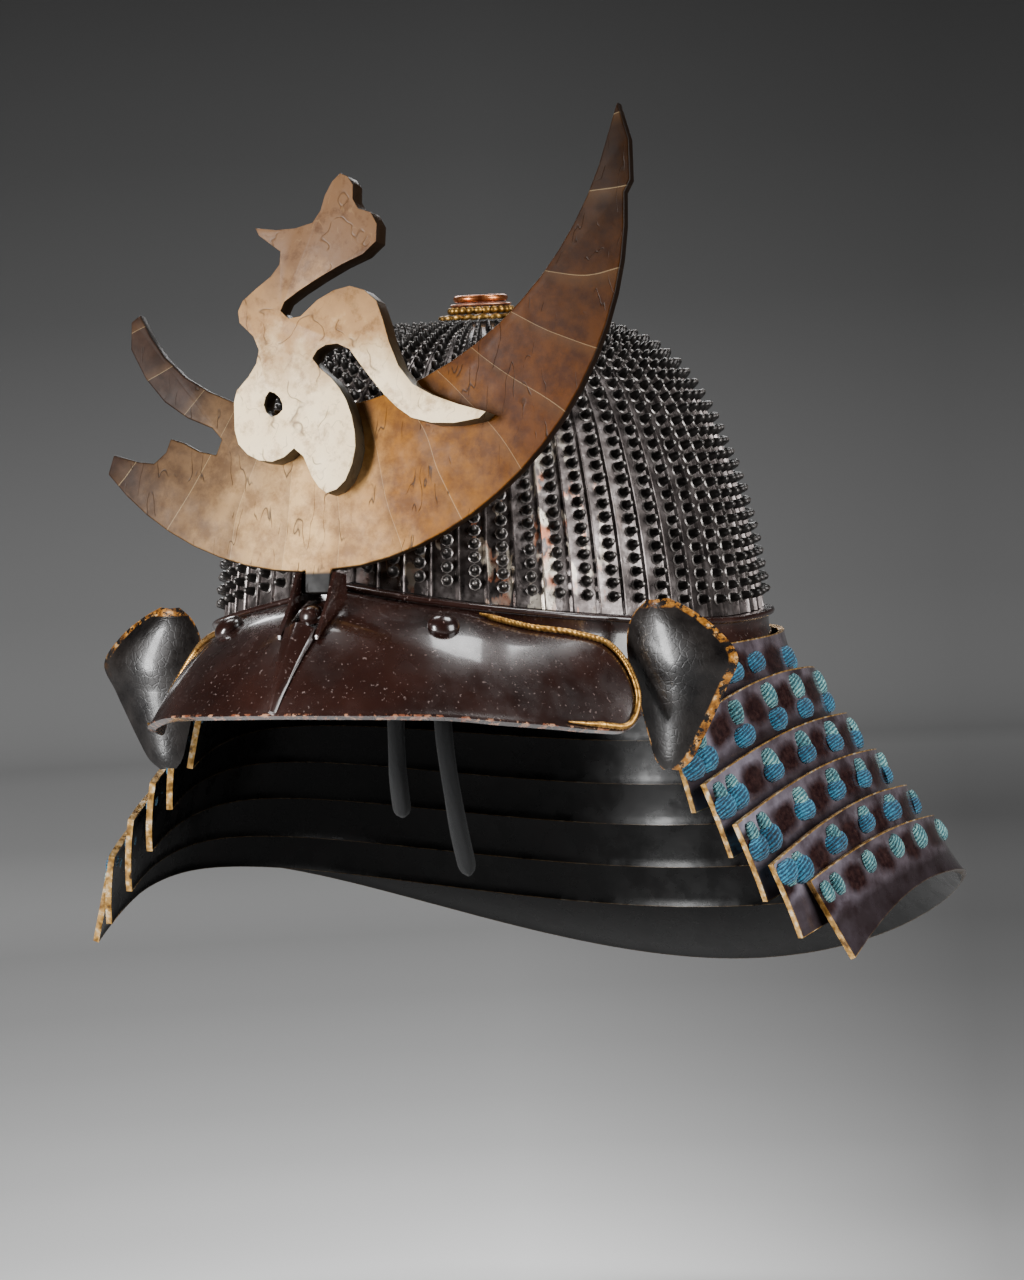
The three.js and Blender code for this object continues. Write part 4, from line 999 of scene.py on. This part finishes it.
def lame_edge(side, back, corner, s, power=SIDE_POWER):
    """An edge of a lame; s runs from -1 at the right front corner, round the back, to 1 at the left."""
    run = np.abs(s)
    turn = np.minimum(run / SIDE_SHARE, 1) * math.pi / 2
    forward = np.clip((run - SIDE_SHARE) / (1 - SIDE_SHARE), 0, 1)
    sine = np.maximum(np.sin(turn), 0)
    cosine = np.maximum(np.cos(turn), 0)
    x = side[0] * sine ** (2 / power) + (corner[0] - side[0]) * forward ** FRONT_POWER
    y = side[1] + (back[0] - side[1]) * cosine ** (2 / power) + (corner[1] - side[1]) * forward
    z = back[1] + (side[2] - back[1]) * sine ** 2 + (corner[2] - side[2]) * forward ** 2
    return np.stack([np.where(s < 0, -1, 1) * x, y, z], axis=-1)


def lame_point(lame, s, t):
    """A point on a lame's middle surface: t runs from its top edge to its foot."""
    s, t = np.broadcast_arrays(np.asarray(s, float), np.asarray(t, float))
    form = LAMES[lame - 1]
    top = lame_edge(*form[:3], s, TOP_POWER[lame - 1])
    foot = lame_edge(*form[3:], s)
    point = top + (foot - top) * t[..., None]
    outward = np.stack([point[..., 0], point[..., 1] - 20, np.zeros(s.shape)], axis=-1)
    outward /= np.linalg.norm(outward, axis=-1, keepdims=True)
    at_side, at_back = LAME_SWELL[lame - 1]
    bow = at_back + (at_side - at_back) * np.minimum(np.abs(s) / SIDE_SHARE, 1)
    return point + outward * (bow * 4 * t * (1 - t))[..., None]


lame_s = np.concatenate([[-1, -0.997, -0.993], np.linspace(-0.985, 0.985, 231), [0.993, 0.997, 1]])
lame_t = np.array([0, 0.02, 0.045, 0.1, 0.2, 0.3, 0.4, 0.5, 0.6, 0.7, 0.8, 0.9, 0.955, 0.98, 1])
for lame in range(1, 7):
    grid = lame_point(lame, lame_s[None, :], lame_t[:, None])
    height = np.linalg.norm(grid[-1] - grid[0], axis=1)[None, :]
    from_top = lame_t[:, None] * height
    from_foot = (1 - lame_t[:, None]) * height
    girth = np.sum(np.linalg.norm(np.diff(grid[7], axis=0), axis=1))
    from_front = (1 - np.abs(lame_s))[None, :] * girth / 2 + 0 * from_top
    edge = np.minimum(np.minimum(from_top, from_foot), from_front)
    gilt = np.minimum(np.minimum(from_top, from_foot + 0.2), from_front)
    half = LAME_HALF_WALL + 0.3 * np.exp(-(edge / 1.3) ** 2)
    ones = np.ones(edge.shape)
    uv = np.stack([lame_s[None, :] / KNOT_PITCH + 0 * from_top, from_top / 10], axis=-1)
    centre_out = np.stack([grid[..., 0], grid[..., 1] - 20, 0 * edge], axis=-1)
    mesh = thick_sheet(f"lame_{lame}", grid, half, centre_out,
                       {"edge_mm": (gilt, gilt), "outside": (ones, 0 * ones)}, uv)
    settle(new_piece(f"lame_{lame}_lacquered", mesh, LAME_LACQUER, 50), "helmet", "lame_lacquer",
           f"neck_lame_{lame}")

# ---- silk: a wide knot above each lame's top edge and an upright one below it, at every cord ----
KNOT_COLUMNS = [k * KNOT_PITCH for k in range(-8, 9)]
CORNER_COLUMNS = [-0.97, 0.975]
WIDE_RISE = 4.2
UPRIGHT_DROP = 6.3


def knot_mesh(name):
    """A plump loop of braid, 1 mm in every half size, lying on its seat."""
    rings = []
    for k in range(1, 7):
        a = math.pi * k / 7
        rings.append([(math.cos(b) * math.sin(a) ** 0.7, -math.cos(a), math.sin(b) * math.sin(a) ** 0.7)
                      for b in np.arange(9) * 2 * math.pi / 9])
    return loop_rings(name, rings, uv_name="weave", uv_size=(3, 4))


def wide_knot_share(lame, s):
    """How far down lame a wide knot sits, so that it clears the next lame's top edge."""
    shares = np.linspace(0.05, 0.97, 93)
    points = lame_point(lame, s, shares)
    line = lame_point(lame + 1, np.linspace(-1, 1, 401), 0.0)
    nearest = [np.argmin(np.hypot(line[:, 0] - p[0], line[:, 1] - p[1])) for p in points]
    miss = np.abs(points[:, 2] - line[nearest, 2] - WIDE_RISE)
    return shares[int(np.argmin(miss))]


def knot_spots(wide):
    spots = []
    for lame in range(2, 7):
        on = lame - 1 if wide else lame
        for s in KNOT_COLUMNS + CORNER_COLUMNS:
            top, foot = lame_point(on, s, 0.0), lame_point(on, s, 1.0)
            t = wide_knot_share(on, s) if wide else UPRIGHT_DROP / (top[2] - foot[2])
            point = lame_point(on, s, t)
            across = lame_point(on, min(s + 0.004, 1), t) - lame_point(on, max(s - 0.004, -1), t)
            down = unit(lame_point(on, s, min(t + 0.02, 1)) - lame_point(on, s, max(t - 0.02, 0)))
            facing = unit(np.cross(across, down))
            size = (6.4, 4.2, 3.2) if wide else (4.0, 4.9, 2.7)
            if s > 0.93:
                size = (6.0, 5.0, 3.6) if wide else (3.1, 4.7, 2.5)
            elif s < -0.93:
                size = (4.5, 4.0, 2.0) if wide else (3.1, 4.7, 1.5)
            spots.append((point + facing * LAME_HALF_WALL, facing, down, size))
    return spots


wide_knots = repeat_shape("silk_wide_knots", knot_spots(True), knot_mesh("wide_knot"), DEEP_SILK,
                          size_spread=0.1, turn_spread=0.12, seed=7)
settle(wide_knots, "helmet", "blue_silk", *[f"lacing_{lame}" for lame in range(2, 7)])
upright_knots = repeat_shape("silk_upright_knots", knot_spots(False), knot_mesh("upright_knot"), PALE_SILK,
                             size_spread=0.1, turn_spread=0.12, seed=9)
settle(upright_knots, "helmet", "blue_silk")

# ---- turned-back ears ----
LEAF = [(10.6, 101.5, 109), (6, 95.8, 118.5), (-1, 92.6, 128.5), (-10.5, 92.4, 135.9), (-20, 94.6, 131.6),
        (-30, 97.5, 126.4), (-40, 100.3, 121), (-47, 102.4, 116.6), (-51, 105.5, 111.5)]
LEAF_COLUMNS = 29
leaf_rows = np.array([spline(LEAF, t) for t in np.linspace(0, 1, 73)])
leaf_across = np.linspace(0, 1, LEAF_COLUMNS)[None, :]
for ear_name, side in (("turn_back_left", 1), ("turn_back_right", -1)):
    z, inner, outer = (leaf_rows[:, k][:, None] for k in range(3))
    x = inner + (outer - inner) * leaf_across
    swell = 6.5 * (outer - inner) / 43 * 4 * leaf_across * (1 - leaf_across)
    y = -70.5 - swell - 0.06 * np.maximum(0, -20 - z)
    grid = np.stack([side * x, y, z + 0 * x], axis=-1)
    from_outer = (outer - inner) * (1 - leaf_across)
    from_inner = (outer - inner) * leaf_across + 2.4
    from_top = 10.6 - z + 0 * x
    edge = np.minimum(np.minimum(from_outer, from_inner), from_top)
    half = 1.0 + 0.45 * np.exp(-(edge / 2.0) ** 2)
    mesh = thick_sheet(ear_name, grid, half, np.array([0, -1, 0]), {"edge_mm": (edge, edge)})
    settle(new_piece(ear_name + "_leather", mesh, EAR_LEATHER, 50), "helmet", "black_leather", ear_name)

# ---- crown: petalled flange, bead ring, rose-copper rim and rounded tube ----
CROWN_Z = BOWL_TOP + GAP + 0.5
around = np.linspace(0, 2 * math.pi, 192, endpoint=False)


def crown_ring(name, node, slot, finish, section, crease=50):
    """A ring round the vent; section gives its points as (radius, height) by the angle round."""
    rings = []
    for a in around:
        rings.append([(r * math.sin(a), -r * math.cos(a), CROWN_Z + z) for r, z in section(a)])
    mesh = loop_rings(name, rings, wrapped_rings=True)
    settle(new_piece(name, mesh, finish, crease), "helmet", slot, node)


def petals(a):
    petal = abs(math.sin(9 * a))
    reach = 15.2 + 1.8 * petal ** 0.5
    return [(8.6, 0), (reach - 0.4, 0), (reach, 0.5), (reach - 0.2, 1.0 + 0.5 * petal),
            (reach - 1.6, 0.9 + 1.1 * petal), (13.6, 1.0 + 0.8 * petal), (12.6, 1.6), (8.6, 1.8)]


def beads(a):
    bead = 0.5 + 0.5 * abs(math.sin(12 * a)) ** 0.7
    return [(11.6 + 1.7 * bead * math.cos(b), 3.6 + 1.5 * bead * math.sin(b))
            for b in np.linspace(math.pi, -math.pi, 12, endpoint=False)]


def round_ring(middle, centre_z, half_width, half_height, sides=16):
    return [(middle + half_width * math.cos(b), centre_z + half_height * math.sin(b))
            for b in np.linspace(math.pi, -math.pi, sides, endpoint=False)]


crown_ring("crown_petal_flange", "crown_base", "gilt_copper", CROWN_GILT, petals)
crown_ring("crown_bead_ring", "crown_beads", "gilt_copper", CROWN_GILT, beads)
crown_ring("crown_rose_rim", "crown_rim", "copper", ROSE_COPPER, lambda a: round_ring(10.2, 5.7, 1.9, 0.6))
crown_ring("crown_tube_ring", "crown_tube", "copper", COPPER, lambda a: round_ring(9.0, 8.1, 1.7, 1.45))

# ---- studio: a paper sweep with painted light and shade, and soft boxes ----
FLOOR_Z = -0.30
SWEEP_RADIUS = 3.4
SWEEP_CURVE = 0.5
SWEEP_SIDES = 96
# The paper's colour is painted light and shade: a painted pool of light round the helmet that falls off
# further out, painted shade up the wall, and painted shade towards this side, which is the main camera's
# right.
PAINTED_SHADE_SIDE = (0.886, 0.464, 0)
PAINTED_SHADE_SIDE_GAIN = 4.35


def sweep_paper():
    finish, tree, shader, place = new_finish("sweep_paper_painted_light_and_shade")
    split = add_node(tree, "ShaderNodeSeparateXYZ", {"Vector": place})
    flat = add_node(tree, "ShaderNodeVectorMath", {0: place, 1: (1, 1, 0)}, operation="MULTIPLY")
    reach = add_node(tree, "ShaderNodeVectorMath", {0: flat.outputs["Vector"]}, operation="LENGTH")
    share_out = sums(tree, "MULTIPLY", reach.outputs["Value"], 1 / SWEEP_RADIUS)
    # Painted light and shade on the floor: light close round the helmet, darker further out, a little lighter
    # again towards the wall.
    near = ramp(tree, share_out,
                [(0.038, 0.93), (0.107, 0.56), (0.153, 0.4), (0.2, 0.31), (0.25, 0.25), (0.32, 0.2),
                 (0.41, 0.19), (0.49, 0.27), (0.57, 0.33), (0.8, 0.44), (1.0, 0.35)])
    # Painted shade up the wall.
    high = ramp(tree, sums(tree, "SUBTRACT", split.outputs["Z"], FLOOR_Z),
                [(0.0, 1.0), (0.14, 0.72), (0.47, 0.34), (0.65, 0.22), (0.87, 0.12)])
    # Painted shade towards the main camera's right.
    sideways = add_node(tree, "ShaderNodeVectorMath", {0: place, 1: PAINTED_SHADE_SIDE}, operation="DOT_PRODUCT")
    distance = sums(tree, "ADD", reach.outputs["Value"], VIEW_DISTANCE)
    spread = sums(tree, "DIVIDE", sideways.outputs["Value"], distance)
    aside = sums(tree, "MULTIPLY_ADD", spread, PAINTED_SHADE_SIDE_GAIN, 0.5)
    on_floor = ramp(tree, aside, [(0.05, 0.95), (0.5, 0.95), (0.95, 0.36)])
    on_wall = ramp(tree, aside, [(0.05, 0.88), (0.5, 1.0), (0.95, 0.66)])
    past_floor = ramp(tree, share_out, [(0.6, 0.0), (0.8, 1.0)])
    aside = blend_colour(tree, past_floor, on_floor, on_wall)
    tone = blend_colour(tree, 1.0, near, high, "MULTIPLY")
    tree.links.new(blend_colour(tree, 1.0, tone, aside, "MULTIPLY"), shader.inputs["Base Color"])
    shader.inputs["Roughness"].default_value = 0.9
    return finish


def sweep_profile():
    arc = [math.pi / 2 * k / 12 for k in range(13)]
    flat_end = SWEEP_RADIUS - SWEEP_CURVE
    rise = [(flat_end + SWEEP_CURVE * math.sin(a), FLOOR_Z + SWEEP_CURVE * (1 - math.cos(a))) for a in arc]
    return [(0, FLOOR_Z)] + rise + [(SWEEP_RADIUS, FLOOR_Z + 3)]


sweep_mesh = turned("paper_sweep", [(r / MM, z / MM) for r, z in sweep_profile()], SWEEP_SIDES)
sweep_mesh.flip_normals()
paper = new_piece("paper_sweep", sweep_mesh, sweep_paper(), 60, recalculate=False)


def softbox(name, place, target, width, height, watts, colour="#ffffff"):
    data = bpy.data.lights.new(name, "AREA")
    data.shape = "RECTANGLE"
    data.size = width
    data.size_y = height
    data.energy = watts
    data.color = linear(colour)[:3]
    light = bpy.data.objects.new(name, data)
    light.location = place
    light.visible_camera = False
    light.rotation_euler = (Vector(target) - Vector(place)).to_track_quat("-Z", "Y").to_euler()
    bpy.context.scene.collection.objects.link(light)


softbox("softbox_left_front", (-0.80, -1.45, 0.10), (0, 0, 0), 0.34, 1.2, 72)
softbox("softbox_right", (1.48, -0.16, 0.35), (0, 0, 0), 0.8, 1.2, 34)
softbox("softbox_above", (0.42, 0.36, 1.45), (0, 0, 0), 0.5, 0.5, 10)
softbox("softbox_behind", (-0.72, 1.30, 0.80), (0, 0, 0), 1.1, 0.4, 11)
softbox("softbox_on_paper", (-0.9, 0.3, 2.1), (-1.5, 2.8, -0.1), 1.0, 1.0, 34)
world = bpy.data.worlds.new("studio_air")
world.use_nodes = True
world.node_tree.nodes["Background"].inputs["Color"].default_value = (0.03, 0.03, 0.032, 1)
world.node_tree.nodes["Background"].inputs["Strength"].default_value = 0.5
bpy.context.scene.world = world
